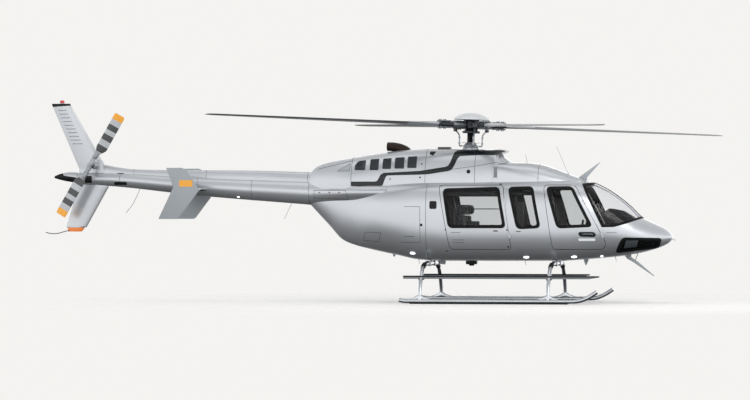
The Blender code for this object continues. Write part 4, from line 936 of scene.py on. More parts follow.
def paths(name, lines):
    """Polylines as one edge mesh; each point is a place and the way that it faces."""
    mesh = bpy.data.meshes.new(name)
    points, edges = [], []
    for line in lines:
        start = len(points)
        points += line
        edges += [(start + i, start + i + 1) for i in range(len(line) - 1)]
    mesh.from_pydata([tuple(place) for place, facing in points], edges, [])
    facings = mesh.attributes.new("facing", "FLOAT_VECTOR", "POINT")
    for value, (place, facing) in zip(facings.data, points):
        value.vector = facing
    return placed(name, mesh)


def spaced_tree(name, *measures):
    """A tree that finds even places along paths, and which way is outward at each."""
    inputs = [(label, "NodeSocketFloat") for label in ("Spacing", *measures)] + [("Finish", "NodeSocketMaterial")]
    tree, given, out = new_tree(name, inputs)
    curve = add(tree, "GeometryNodeMeshToCurve", {"Mesh": given["Geometry"]})
    steps = add(
        tree, "GeometryNodeResampleCurve", {"Curve": curve.outputs["Curve"], "Length": given["Spacing"]}, mode="LENGTH",
    )
    facing = add(tree, "GeometryNodeInputNamedAttribute", {"Name": "facing"}, data_type="FLOAT_VECTOR")
    outward = add(tree, "FunctionNodeAlignRotationToVector", {"Vector": facing.outputs["Attribute"]}, axis="Z")
    return tree, given, out, steps, outward


def set_out(tree, given, out, steps, shape, turn):
    """Sets the shape at every place, gives all the finish, and ends the tree."""
    rows = add(tree, "GeometryNodeInstanceOnPoints", {
        "Points": steps.outputs["Curve"], "Instance": shape.outputs["Mesh"], "Rotation": turn.outputs["Rotation"],
    })
    real = add(tree, "GeometryNodeRealizeInstances", {"Geometry": rows.outputs["Instances"]})
    painted = add(tree, "GeometryNodeSetMaterial", {"Geometry": real.outputs["Geometry"], "Material": given["Finish"]})
    tree.links.new(painted.outputs["Geometry"], out.inputs["Geometry"])
    print(f"{tree.name}: {len(tree.nodes)} nodes")


BARS, given, out, steps, outward = spaced_tree("bars_along_paths", "Length", "Width", "Depth")
along = add(BARS, "GeometryNodeInputTangent", {})
turned_bar = add(
    BARS, "FunctionNodeAlignRotationToVector",
    {"Rotation": outward.outputs["Rotation"], "Vector": along.outputs["Tangent"]}, axis="Y", pivot_axis="Z",
)
size = add(BARS, "ShaderNodeCombineXYZ", {"X": given["Length"], "Y": given["Width"], "Z": given["Depth"]})
bar = add(BARS, "GeometryNodeMeshCube", {"Size": size.outputs["Vector"]})
set_out(BARS, given, out, steps, bar, turned_bar)

# %% Slats across the screens
lines = []
for outline in GRILLES:
    xs = [p[0] for p in outline]
    middle = (min(xs) + max(xs)) / 2
    low, high = outline[0][1] + 0.012, max(p[1] for p in outline) - 0.030
    for side in SIDES.values():
        lines.append([
            (Vector((middle, side * cowl_y(middle, z, 0.006), z)), Vector((0, side, 0.4)).normalized())
            for z in [low + (high - low) * k / 6 for k in range(7)]
        ])
slats = grow(
    paths("screen_slats", lines), BARS, Spacing=0.020, Length=0.140, Width=0.0035, Depth=0.006, Finish=BLACK_PLASTIC,
)
dress(slats, BLACK_PLASTIC)

# %% Mast collar, exhaust and roof fairing
COLLAR_X = 1.651
collar = turned(
    "mast_collar", [(0, 2.630), (0.118, 2.630), (0.126, 2.624), (0.162, 2.562), (0.165, 2.545), (0, 2.545)], 64,
    Matrix.Translation((COLLAR_X, 0, 0)), True,
)
trim(gear_cowl, collar, operation="UNION", solver="EXACT")
trim(gear_cowl, rod_between("mast_hole", (COLLAR_X, 0, 2.40), (COLLAR_X, 0, 2.75), 0.085, 48, spare=True))
in_silver(aft_fairing, "aft_fairing")

EXHAUST_PATH = [(0.61, 2.42), (0.565, 2.54), (0.47, 2.60), (0.35, 2.632), (0.235, 2.640)]


def duct_rings(grow_by):
    """Flattened rings square to the duct's path, which turns from up to aft."""
    path = through([(x, 0, z) for x, z in EXHAUST_PATH], 5)
    rings = []
    for i, here in enumerate(path):
        run = (path[min(i + 1, len(path) - 1)] - path[max(i - 1, 0)]).normalized()
        across = Vector((-run.z, 0, run.x))
        flat = 0.074 + 0.012 * (1 - i / (len(path) - 1)) + grow_by
        wide = 0.115 + grow_by
        rings.append([
            here + Vector((0, wide * math.cos(t), 0)) + across * flat * math.sin(t) for t in turns_of(40, 0)
        ])
    return rings


trim(engine_cowl, loft("exhaust_block", duct_rings(GAP), True))
in_silver(engine_cowl, "engine_cowl")
in_silver(gear_cowl, "transmission_cowl")
duct = sleeve("exhaust_stub", duct_rings(0.0), duct_rings(-0.004))
dress(duct, BURNT_STEEL, stands_for=["exhaust_duct"])
mouth = duct_rings(-0.001)[-1]
dress(tube("exhaust_bead", [*mouth, mouth[0]], 0.005, 2, False), BURNT_STEEL)
hump = loft("roof_fairing_skin", [hump_ring(x) for x in stations(2.10, 3.72, 0.04)])
front = loft("cowl_front_fairing", [
    arch(x, smooth(column(FRONT_ROWS, 1), x), smooth(column(FRONT_ROWS, 2), x), FRONT_BASE)
    for x in stations(2.04, 2.40, 0.02)
])
dress(front, PAINT)
trim(hump, hull, cowl_block, lip)
in_silver(hump, "roof_fairing")

# %% [markdown]
# ### Painted marks and the roof stripe
# Painted marks have no thickness to speak of. Each is a shell nine tenths of a millimetre proud of the skin, cut to its
# outline by a block, so it follows the curves.

# %% Marks on the skin
PAINT_LIFT = 0.0009


def mark(name, skin, outline, material, body="airframe", sides=(-1, 1), near=0.0):
    """A painted shape on both sides: a thin sleeve of the named skin, cut to an outline in X and Z."""
    x0, x1 = min(p[0] for p in outline) - 0.05, max(p[0] for p in outline) + 0.05
    rings = {
        "hull": lambda inset: hull_rings(x0, x1, inset, 0.03),
        "cowl": lambda inset: cowl_rings(max(x0, HULL_REAR), min(x1, COWL_FRONT), inset),
        "shoulder": lambda inset: [shoulder_ring(x, -inset) for x in stations(max(x0, HULL_REAR), x1, 0.03)],
        "hump": lambda inset: [hump_ring(x, -inset) for x in stations(max(x0, 2.10), x1, 0.03)],
        "spine": lambda inset: [spine_ring(x, -inset) for x in stations(x0, x1)],
        "boom": lambda inset: [boom_ring(x, -inset) for x in stations(max(x0, BOOM_REAR), min(x1, HULL_REAR))],
    }[skin]
    parts = []
    for side in sides:
        shape = sleeve(f"{name}_{side}", rings(-PAINT_LIFT), rings(0.004))
        block = prism(f"{name}_block_{side}", outline, side * near, side * OUTSIDE)
        parts.append(trim(shape, block, operation="INTERSECT"))
    return dress(joined(name, parts), material, body)


STRIPE_OUTLINE = [
    (-0.330, 2.044), (-0.330, 1.975), (-0.30, 1.960), (0.185, 1.966), (0.226, 1.985), (0.275, 2.120), (0.30, 2.145),
    (0.874, 2.158), (1.016, 2.166), (1.349, 2.218), (1.400, 2.240), (1.443, 2.310), (1.490, 2.430), (1.528, 2.470),
    (1.764, 2.486), (2.24, 2.500), (2.24, 2.580), (1.480, 2.575), (1.425, 2.545), (1.370, 2.365), (1.335, 2.308),
    (1.290, 2.290), (0.946, 2.236), (0.862, 2.222), (0.235, 2.190), (0.185, 2.160), (0.127, 2.055), (0.09, 2.044),
]
mark("roof_stripe", "cowl", STRIPE_OUTLINE, STRIPE, near=0.10)
lip_paint = sleeve("lip_stripe", lip_rings(PAINT_LIFT), lip_rings(-0.003))
lip_band = [(1.95, 2.495), (2.30, 2.48), (2.30, 2.60), (2.19, 2.60), (2.10, 2.577), (1.95, 2.568)]
trim(lip_paint, prism("lip_band", lip_band, -0.4, 0.4), operation="INTERSECT")
dress(lip_paint, STRIPE)

# %% [markdown]
# ## Tail boom, fins and stabiliser
# The boom is a tapering round shell with the drive shaft cover along its top. The fins and the stabiliser are symmetric
# wing sections, lofted through tables of leading edge, trailing edge and thickness.

# %% Boom and drive shaft cover
BOOM_REAR = -5.18
BOOM_RADIUS = [(-5.18, 0.098), (-4.70, 0.115), (-3.0, 0.162), (-1.10, 0.212)]
BOOM_MIDDLE = [(-5.18, 2.105), (-4.70, 2.095), (-3.0, 1.965), (-1.10, 1.862)]
SPINE_TOP = [(-4.72, 2.345), (-4.45, 2.295), (-4.2, 2.265), (-3.6, 2.25), (-2.16, 2.24), (-1.1007, 2.21)]
SPINE_WIDTH = [(-4.72, 0.062), (-3.0, 0.080), (-1.1007, 0.115)]


def boom_ring(x, grow=0.0):
    radius, middle = smooth(BOOM_RADIUS, x) + grow, smooth(BOOM_MIDDLE, x)
    return [Vector((x, radius * math.cos(t), middle + radius * math.sin(t))) for t in turns_of(64)]


def spine_ring(x, grow=0.0):
    base = smooth(BOOM_MIDDLE, x) + 0.3 * smooth(BOOM_RADIUS, x)
    return arch(x, smooth(SPINE_TOP, x) + grow, smooth(SPINE_WIDTH, x) + grow, base, 2.8, points=32)


boom_block = loft("boom_block", [boom_ring(x, GAP) for x in stations(BOOM_REAR - 0.01, HULL_REAR, 0.08)], True)
boom = loft("boom_skin", [boom_ring(x) for x in stations(BOOM_REAR, HULL_REAR - GAP, 0.08)])
in_silver(boom, "tail_boom")
spine = loft("shaft_cover_skin", [spine_ring(x) for x in stations(-4.72, -1.1007, 0.06)])
trim(spine, boom_block)
in_silver(spine, "drive_shaft_cover")

# %% Fins
FIN_UPPER = [
    (2.10, -4.61, -5.17, 0.078), (2.27, -4.67, -5.16, 0.075), (2.77, -4.965, -5.38, 0.062),
    (3.36, -5.31, -5.64, 0.050), (3.395, -5.325, -5.65, 0.042),
]
FIN_LOWER = [
    (1.23, -5.085, -5.36, 0.040), (1.262, -5.065, -5.375, 0.044), (1.27, -5.03, -5.39, 0.047),
    (1.96, -4.64, -5.18, 0.072), (2.09, -4.62, -5.17, 0.073),
]


def fin_row(rows, z):
    """Leading edge, trailing edge and thickness at a height."""
    low = next(k for k in range(len(rows) - 1) if rows[k][0] <= z <= rows[k + 1][0] + 1e-9)
    share = (z - rows[low][0]) / (rows[low + 1][0] - rows[low][0])
    return [rows[low][k] * (1 - share) + rows[low + 1][k] * share for k in (1, 2, 3)]


def fin_rings(rows, first, last, grow=0.0, step=0.06, nose_share=1.0):
    """Wing sections between two heights; a nose share under one keeps only the front of each."""
    rings = []
    for z in sorted({*stations(first, last, step), *[r[0] for r in rows if first < r[0] < last]}):
        lead, trail, thick = fin_row(rows, z)
        chord = lead - trail
        ring = aerofoil(chord + 2 * grow, (thick + 2 * grow) / (chord + 2 * grow), 24, 0.0)
        rings.append([
            Vector((lead + grow + max(along, -chord * nose_share), across, z)) for along, across in ring
        ])
    return rings


def fin_y(rows, x, z):
    """Half the fin's thickness at x and z."""
    lead, trail, thick = fin_row(rows, z)
    return wing_half(min(max((lead - x) / (lead - trail), 0.0), 1.0), thick)


upper_fin = loft("upper_fin_skin", fin_rings(FIN_UPPER, 2.10, 3.395))
lower_fin = loft("lower_fin_skin", fin_rings(FIN_LOWER, 1.23, 2.09))
spine_block = loft("spine_block", [spine_ring(x, GAP) for x in stations(-4.72 - GAP, -4.40, 0.04)], True)
trim(upper_fin, boom_block, spine_block)
trim(lower_fin, boom_block)
in_silver(upper_fin, "upper_fin")
in_silver(lower_fin, "lower_fin")
cap = loft("fin_cap", fin_rings(FIN_UPPER, 3.325, 3.395, 0.0006, 0.02))
trim(cap, prism("fin_cap_slope", [(-5.20, 3.20), (-5.80, 3.20), (-5.80, 3.330), (-5.20, 3.368)], -0.2, 0.2))
cap.data.transform(Matrix.Translation((0, 0, 0.0004)))
dress(cap, BLACK_PLASTIC)
tip = loft("lower_fin_tip", fin_rings(FIN_LOWER, 1.23, 1.262, 0.0007, 0.01))
keel = fin_rings(FIN_LOWER, 1.232, 1.262, 0.0, 0.012)[0]
inner = [Vector((p.x * 0.90 - 5.43 * 0.10, p.y * 0.7, 1.192)) for p in keel]
tip = joined("lower_fin_tip", [tip, loft("fin_keel", [inner, keel])])
dress(tip, TIP_ORANGE)
# A pale metal band along the upper fin's leading edge: a painted highlight, the light that the rounded edge catches.
band = loft("fin_leading_edge_painted_highlight", fin_rings(FIN_UPPER, 2.42, 3.32, 0.0008, 0.05, 0.13))
dress(band, DOME_METAL)

# %% Beacon, tail cone and tail skid
BEACON_X, FIN_TOP = -5.465, 3.3953
beacon = turned("beacon_lens", [
    (0, 0.060), (0.014, 0.0590), (0.026, 0.0550), (0.036, 0.0460), (0.042, 0.0320), (0.044, 0.012), (0, 0.012),
], 32, Matrix.Translation((BEACON_X, 0, FIN_TOP)))
dress(beacon, RED_GLASS, stands_for=["beacon"])
beacon_base = turned(
    "beacon_base", [(0, 0.012), (0.036, 0.012), (0.037, 0.006), (0.037, 0), (0, 0)], 32,
    Matrix.Translation((BEACON_X, 0, FIN_TOP + GAP)),
)
dress(beacon_base, STEEL)
CONE_ROWS = [(-5.60, 0.018, 2.130), (-5.50, 0.050, 2.135), (-5.36, 0.080, 2.135), (-5.1803, 0.096, 2.115)]


def cone_ring(x, grow=0.0):
    half, middle = smooth(column(CONE_ROWS, 1), x) + grow, smooth(column(CONE_ROWS, 2), x)
    return [Vector((x, 0.8 * half * math.cos(t), middle + half * math.sin(t))) for t in turns_of(48, 0)]


fin_blocks = [
    loft("upper_fin_block", fin_rings(FIN_UPPER, 2.10, 2.50, GAP), True),
    loft("lower_fin_block", fin_rings(FIN_LOWER, 1.90, 2.09, GAP), True),
]
cone = loft("tail_cone_skin", [cone_ring(x) for x in stations(-5.60, -5.1803, 0.025)])
trim(cone, *fin_blocks, boom_block)
in_silver(cone, "tail_cone")
under = sleeve(
    "tail_cone_underside", *[[cone_ring(x, grow) for x in stations(-5.594, -5.20, 0.025)] for grow in (0.0008, -0.003)],
)
CONE_UNDER = [(-5.20, 2.125), (-5.42, 2.155), (-5.54, 2.30), (-5.7, 2.3), (-5.7, 1.9), (-5.2, 1.9)]
trim(under, prism("cone_under_block", CONE_UNDER, -0.2, 0.2), operation="INTERSECT")
dress(under, BLACK_PLASTIC)
dress(
    tube("tail_skid_rod", [
        (-5.30, 0, 1.2214), (-5.40, 0, 1.200), (-5.55, 0, 1.160), (-5.66, 0, 1.158), (-5.755, 0, 1.178),
    ], 0.008), STEEL, stands_for=["tail_skid"],
)
dress(rod_between("tail_light", (-5.598, 0, 2.130), (-5.612, 0, 2.130), 0.014, 20), LENS)

# %% Stabiliser and its endplates
CHORD_REAR, CHORD_FRONT, STABILISER_Z, STABILISER_THICK = -3.35, -2.88, 1.915, 0.055
wing = aerofoil(CHORD_FRONT - CHORD_REAR, STABILISER_THICK / (CHORD_FRONT - CHORD_REAR), 24, 0.0)
stabiliser = loft("stabiliser_skin", [
    [Vector((CHORD_FRONT + along, y, STABILISER_Z - across)) for along, across in wing]
    for y in stations(-0.6477, 0.6477, 0.16)
])
trim(stabiliser, boom_block)
in_silver(stabiliser, "stabiliser")
ENDPLATE = [
    (-3.475, 2.28), (-3.20, 2.28), (-3.11, 2.235), (-2.90, 1.90), (-3.25, 1.44), (-3.29, 1.41), (-3.61, 1.41),
    (-3.35, 1.95),
]
for side_name, side in SIDES.items():
    plate = prism(f"endplate_skin_{side_name}", rounded(ENDPLATE, 0.012, 3), side * 0.6480, side * 0.6720, False)
    round_edges(plate, 0.004)
    dress(plate, PLATE_GREY, stands_for=[f"endplate_{side_name}"])
PLACARD = [(-3.245, 2.068), (-3.015, 2.068), (-3.015, 1.960), (-3.245, 1.960)]
dress(prism("placard_skin", rounded(PLACARD, 0.008, 3), -0.6721, -0.6734, False), WARNING)
black = loft("stabiliser_underside", [
    [Vector((CHORD_FRONT + along, y, STABILISER_Z - across - 0.0006)) for along, across in wing if across > -0.001]
    for y in stations(-0.645, 0.645, 0.16)
])
trim(black, boom_block)
dress(black, BLACK_PLASTIC)

# %% [markdown]
# ## Main rotor
# The mast leans forward by two degrees, so the whole rotor is modelled about an upright axis and then tilted with one
# matrix. Four arms carry cuffs and grips, and a spun dome covers the top of the hub.

# %% Main rotor: hub
HUB = Vector((1.665, 0.0, 3.00))
MAST_LEAN = math.radians(2.0)
MAST = Matrix.Translation(HUB) @ Matrix.Rotation(MAST_LEAN, 4, "Y")
MAIN_REST = math.radians(34.0)
ARMS = [Matrix.Rotation(MAIN_REST + k * math.pi / 2, 4, "Z") for k in range(4)]
MAST_BOTTOM = (2.5025 - HUB.z) / math.cos(MAST_LEAN)


def on_mast(obj, arm=None):
    """Moves a piece that was modelled about the origin to its place on the rotor."""
    obj.data.transform(MAST @ (arm or Matrix()))
    return obj


core = turned("hub_core", [
    (0, 0.085), (0.083, 0.085), (0.087, 0.081), (0.105, 0.060), (0.110, -0.050), (0.080, -0.090), (0.056, -0.110),
    (0.056, -0.300), (0.052, -0.36), (0.052, MAST_BOTTOM), (0, MAST_BOTTOM),
], 64)
on_mast(core)
dress(core, HUB_STEEL, "main_rotor", ["main_rotor_hub"])
ARM_ROWS = [
    (0.085, 0.055, 0.036), (0.26, 0.050, 0.026), (0.36, 0.062, 0.038), (0.56, 0.078, 0.042), (0.6197, 0.090, 0.028),
]
BARREL_ROWS = [
    (0.124, 0.060), (0.130, 0.066), (0.138, 0.068), (0.205, 0.066), (0.212, 0.061), (0.220, 0.061), (0.227, 0.066),
    (0.350, 0.062), (0.372, 0.056), (0.378, 0.048),
]
LINK_PATH = [
    (0.140, -0.356), (0.178, -0.358), (0.192, -0.335), (0.194, -0.215), (0.204, -0.165), (0.232, -0.130),
    (0.262, -0.108), (0.272, -0.060),
]
LINK_Y = -0.045


def soft_section(half, high, exponent, count):
    """Points round a box section with soft corners."""
    return [(half * power(math.cos(t), exponent), high * power(math.sin(t), exponent)) for t in turns_of(count)]


def arm_ring(r):
    half, high = smooth(column(ARM_ROWS, 1), r), smooth(column(ARM_ROWS, 2), r)
    return [Vector((r, *point)) for point in soft_section(half, high, 0.55, 32)]


arms, grips, bolts, links, barrels = [], [], [], [], []
for number, arm in enumerate(ARMS):
    arms.append(on_mast(loft(f"arm_{number}", [arm_ring(r) for r in stations(0.07, 0.6195, 0.02)]), arm))
    for side in (-1, 1):
        z0, z1 = sorted((side * 0.041, side * 0.066))
        plate = eased_box(f"grip_{number}_{side}", (0.40, -0.066, z0), (0.6205, 0.066, z1), 0.010)
        grips.append(on_mast(plate, arm))
    for r, y in ((0.50, -0.032), (0.50, 0.032), (0.585, -0.034), (0.585, 0.034)):
        bolts.append(on_mast(upright(f"grip_bolt_{number}", r, y, -0.084, 0.084, 0.0105), arm))
        bolts.append(on_mast(upright(f"grip_washer_{number}", r, y, -0.071, 0.071, 0.016, 20), arm))
    barrel = loft(f"arm_barrel_{number}", [
        [Vector((r, radius * math.cos(t), radius * math.sin(t))) for t in turns_of(28, 0)] for r, radius in BARREL_ROWS
    ])
    barrels.append(on_mast(barrel, arm))
    links.append(on_mast(tube(f"pitch_link_{number}", [(r, LINK_Y, z) for r, z in LINK_PATH], 0.0115), arm))
    for r, z in ((0.193, -0.310), (0.195, -0.215)):
        links.append(on_mast(upright(f"link_nut_{number}", r, LINK_Y, z - 0.014, z + 0.014, 0.019), arm))
    horn = eased_box(f"pitch_horn_{number}", (0.245, -0.074, -0.118), (0.300, -0.016, -0.050), 0.010)
    arms.append(on_mast(horn, arm))
    post = rod_between(f"dome_post_{number}", (0.115, 0, 0.070), (0.125, 0, 0.0862), 0.016, 16)
    arms.append(on_mast(post, arm @ Matrix.Rotation(math.radians(45), 4, "Z")))
dress(joined("hub_arms", arms), HUB_STEEL, "main_rotor")
for low, high, radius in ((-0.140, -0.100, 0.150), (0.066, 0.080, 0.135)):
    flat = radius - 0.012
    plate = turned("hub_plate", [
        (0, high), (flat, high), (radius, high - 0.005), (radius, low + 0.005), (flat, low), (0, low),
    ], 48)
    dress(on_mast(plate), HUB_STEEL, "main_rotor")
for name, objs, material in (
    ("blade_grips", grips, GRIP_ALLOY), ("grip_bolts", bolts, STEEL), ("pitch_links", links, STEEL),
    ("arm_barrels", barrels, GRIP_ALLOY),
):
    dress(joined(name, objs), material, "main_rotor")

# %% Mast boot and swashplate
ribs = [(0.0, -0.120)]
for k in range(10):
    z = -0.125 - k * 0.0172
    ribs += [(0.060, z), (0.066, z - 0.005), (0.066, z - 0.010), (0.058, z - 0.014)]
ribs += [(0.0, ribs[-1][1])]
dress(on_mast(turned("mast_boot", ribs, 48)), RUBBER, "main_rotor")
dress(on_mast(turned("swashplate_ring", [
    (0, -0.297), (0.150, -0.299), (0.153, -0.302), (0.150, -0.305), (0.080, -0.308), (0.098, -0.328), (0.132, -0.352),
    (0.142, -0.362), (0.138, -0.370), (0, -0.370),
], 64)), CAST_ALLOY, "main_rotor")
scissors = []
for turn in (math.radians(80), math.radians(260)):
    spin = Matrix.Rotation(turn, 4, "Z")
    for low, high in (((0.055, 0, -0.15), (0.150, 0, -0.215)), ((0.150, 0, -0.215), (0.120, 0, -0.285))):
        scissors.append(on_mast(rod_between("scissor_link", low, high, 0.012, 12), spin))
dress(joined("scissor_links", scissors), HUB_STEEL, "main_rotor")

# %% Dome and blades
dome = turned("dome_skin", [
    (0, 0.205), (0.03, 0.2045), (0.07, 0.202), (0.10, 0.198), (0.15, 0.187), (0.20, 0.170), (0.24, 0.151),
    (0.27, 0.130), (0.290, 0.113), (0.302, 0.100), (0.305, 0.094), (0.300, 0.0865), (0.285, 0.0853), (0, 0.0853),
], 80)
on_mast(dome)
dress(dome, DOME_METAL, "main_rotor", ["rotor_dome"])
fasteners = []
for turn in turns_of(12, 0):
    x, y = 0.286 * math.cos(turn), 0.286 * math.sin(turn)
    fasteners.append(on_mast(upright("dome_screw", x, y, 0.112, 0.1225, 0.006, 10)))
dress(joined("dome_screws", fasteners), STEEL, "main_rotor")
MAIN_CHORD = 0.255
BLADE_ROWS = [
    (0.62, 0.50, 0.24, 12), (0.80, 0.62, 0.17, 11.5), (1.05, 1, 0.11, 10.5), (2.2, 1, 0.10, 8.5), (3.5, 1, 0.095, 6.2),
    (4.62, 1, 0.090, 4.2), (4.80, 0.72, 0.085, 3.9),
]
BLADE = [column(BLADE_ROWS, k) for k in (1, 2, 3)]
CUFF_ROWS = [
    (0.600, 0.060, 0.030), (0.64, 0.066, 0.034), (0.76, 0.080, 0.030), (0.90, 0.092, 0.024), (1.06, 0.098, 0.017),
    (1.20, 0.095, 0.0135),
]
ROOT_PITCH = 11.5


def pitched(along, across, degrees):
    """A point of a blade section, turned by the blade's pitch."""
    turn = math.radians(degrees)
    return along * math.cos(turn) - across * math.sin(turn), along * math.sin(turn) + across * math.cos(turn)


def main_section(r):
    chord = MAIN_CHORD * smooth(BLADE[0], r)
    return [
        Vector((r, *pitched(*point, smooth(BLADE[2], r)))) for point in aerofoil(chord, smooth(BLADE[1], r), 18)
    ]


tips, cuffs = [], []
for number, arm in enumerate(ARMS):
    blade = loft(f"blade_{number + 1}_skin", [main_section(r) for r in (
        *stations(0.62, 1.05, 0.04), *stations(1.15, 4.62, 0.12), 4.66, 4.70, 4.74, 4.77, 4.80,
    )])
    on_mast(blade, arm)
    dress(blade, BLADE_PAINT, "main_rotor", [f"main_blade_{number + 1}"])
    tips.append(on_mast(upright(f"tip_weight_{number}", 4.74, 0.05, -0.006, 0.014, 0.009, 12), arm))
    cuff = loft(f"root_cuff_{number}", [
        [Vector((r, *pitched(*point, ROOT_PITCH))) for point in soft_section(half, high, 0.7, 28)]
        for r, half, high in CUFF_ROWS
    ])
    cuffs.append(on_mast(cuff, arm))
dress(joined("blade_root_cuffs", cuffs), CAST_ALLOY, "main_rotor")
dress(joined("tip_weights", tips), STEEL, "main_rotor")

# %% [markdown]
# ## Tail rotor
# Two blades turn beside the fin on a teetering hub. Broad warning bands run across them. Each band is a short loft on
# the blade's own sections, seven tenths of a millimetre proud, so it follows the twist.

# %% Tail rotor
TAIL_HUB = Vector((-4.88, -0.35, 2.33))
TAIL_CHORD = 0.19
TAIL_ROWS = [
    (0.1703, 0.30, 0.40, 12), (0.26, 0.55, 0.26, 11), (0.36, 1, 0.14, 10), (0.95, 1, 0.10, 7), (1.0, 0.90, 0.09, 7),
]
TAIL = [column(TAIL_ROWS, k) for k in (1, 2, 3)]
TAIL_TURNS = [Matrix.Translation(TAIL_HUB) @ Matrix.Rotation(-math.radians(60) + k * math.pi, 4, "Y") for k in (0, 1)]
BANDS = [(1, 0.275, 0.395, BAND_DARK), (3, 0.50, 0.605, BAND_DARK), (5, 0.69, 0.79, BAND_DARK), (7, 0.89, 1.0, WARNING)]
BAND_LIFT = 0.0007
YOKE_ROWS = [(0.0, 0.045, 0.028), (0.06, 0.045, 0.028), (0.11, 0.036, 0.024), (0.17, 0.026, 0.020)]


def tail_section(r, grow=0.0):
    chord = TAIL_CHORD * smooth(TAIL[0], r)
    ring = []
    for point in aerofoil(chord + 2 * grow, smooth(TAIL[1], r) + 2 * grow / chord, 18, 0.35):
        along, across = pitched(*point, smooth(TAIL[2], r))
        ring.append(Vector((r, -across, along)))
    return ring


for number, turn in enumerate(TAIL_TURNS):
    blade = loft(f"tail_blade_{number + 1}_skin", [tail_section(r) for r in stations(0.1703, 1.0, 0.02)])
    blade.data.transform(turn)
    dress(blade, BAND_LIGHT, "tail_rotor", [f"tail_blade_{number + 1}"])
    for index, low, high, paint in BANDS:
        strip = loft(f"tail_band_{number + 1}_{index}", [tail_section(r, BAND_LIFT) for r in stations(low, high, 0.02)])
        strip.data.transform(turn)
        dress(strip, paint, "tail_rotor")


def tail_shaft(name, start, end, radius, sides=32):
    """A rod on the tail rotor's axis, between two distances from the hub."""
    return rod_between(name, TAIL_HUB + Vector((0, start, 0)), TAIL_HUB + Vector((0, end, 0)), radius, sides)


def yoke_ring(r):
    thick, half = smooth(column(YOKE_ROWS, 2), r), smooth(column(YOKE_ROWS, 1), r)
    return [Vector((r, *point)) for point in soft_section(thick, half, 0.7, 24)]


yoke_parts, steel_parts = [], []
for turn in TAIL_TURNS:
    arm_loft = loft("tail_yoke_arm", [yoke_ring(r) for r in stations(-0.02, 0.17, 0.015)])
    cuff = [
        eased_box("tail_cuff", (0.135, side * 0.026 - 0.006, -0.036), (0.262, side * 0.026 + 0.006, 0.036), 0.004)
        for side in (-1, 1)
    ]
    horn = rod_between("tail_pitch_horn", (0.045, 0.100, 0), (0.125, 0.004, 0.030), 0.009, 16)
    nuts = [rod_between("tail_bolt", (r, -0.042, 0), (r, 0.042, 0), 0.0075, 6) for r in (0.158, 0.215, 0.246)]
    for obj in (arm_loft, *cuff, horn, *nuts):
        obj.data.transform(turn)
    yoke_parts.append(arm_loft)
    steel_parts += [*cuff, horn, *nuts]
hub_shaft = tail_shaft("tail_hub_shaft", 0.1495, -0.060, 0.030)
collar = tail_shaft("tail_pitch_collar", 0.115, 0.088, 0.052)
nut = tail_shaft("tail_hub_nut", -0.058, -0.075, 0.021, 6)
dress(joined("tail_hub_yoke", [hub_shaft, *yoke_parts]), CAST_ALLOY, "tail_rotor", ["tail_rotor_hub"])
dress(joined("tail_hub_fittings", [collar, nut, *steel_parts]), STEEL, "tail_rotor")
gearbox = turned("tail_gearbox_case", [
    (0, 0.0), (0.052, 0.0), (0.052, -0.030), (0.064, -0.034), (0.065, -0.060), (0.058, -0.066), (0.055, -0.150),
    (0.048, -0.165), (0.045, -0.198), (0.0, -0.198),
], 48, Matrix.Translation((TAIL_HUB.x, 0, TAIL_HUB.z)) @ Matrix.Rotation(-math.pi / 2, 4, "X"))
dress(gearbox, CAST_ALLOY, stands_for=["tail_gearbox"])

# %% [markdown]
# ## Skid gear
# Two bent aluminium tubes cross under the cabin and carry the skids. Tubes are bevelled curves. Each foot is a saddle
# that spreads along the skid, and a black shoe takes the wear on the ground.

# %% Skids
SKID_Y, TUBE_RADIUS, TUBE_Z = 1.17, 0.036, 0.047
SKID_PATH = [(0.63, 0.062), (0.72, TUBE_Z), (3.52, TUBE_Z), (3.66, 0.064), (3.80, 0.12), (3.94, 0.21)]
LEG_X, LEG_RADIUS = (0.97, 3.12), 0.034
LEG_PATH = [
    (1.168, 0.056), (1.145, 0.180), (1.100, 0.300), (1.035, 0.410), (0.940, 0.520), (0.820, 0.600), (0.660, 0.648),
    (0.450, 0.664),
]
for side_name, side in SIDES.items():
    middle = [(x, TUBE_Z) for x in stations(0.80, 3.44, 0.66)]
    path = [SKID_PATH[0], SKID_PATH[1], *middle, *SKID_PATH[2:]]
    skid = tube(f"skid_tube_{side_name}", [(x, side * SKID_Y, z) for x, z in path], TUBE_RADIUS, 6)
    dress(skid, BRIGHT_TUBE, stands_for=[f"skid_{side_name}"])
    shoe = eased_box(
        f"skid_shoe_{side_name}", (0.80, side * SKID_Y - 0.026, 0.0), (3.45, side * SKID_Y + 0.026, 0.020), 0.004,
    )
    dress(shoe, BLACK_PLASTIC)
    y = side * SKID_Y
    ends = [rod_between(f"skid_plug_{side_name}", (0.6305, y, 0.0615), (0.624, y, 0.0628), 0.033, 24)]
    for x in (0.86, 1.45, 2.10, 2.75, 3.38):
        ends.append(upright(f"shoe_bolt_{side_name}", x, y, 0.076, 0.087, 0.010))
    dress(joined(f"skid_bolts_{side_name}", ends), STEEL)

# %% Cross tubes, feet and clamps
FOOT_BOTTOM, FOOT_TOP = 0.060, 0.092


def foot_ring(x, side, share):
    """A saddle's section over the skid; the share runs from -1 to 1 along it."""
    rise = (1 - abs(share)) ** 2
    half, top = 0.012 + 0.026 * (1 - abs(share)) ** 1.5, FOOT_TOP + 0.09 * rise
    across, middle = side * (SKID_Y - 0.02 * rise), (FOOT_BOTTOM + top) / 2
    section = soft_section(half, (top - FOOT_BOTTOM) / 2, 0.7, 20)
    return [Vector((x + 0.17 * share, across + dy, middle + dz)) for dy, dz in section]


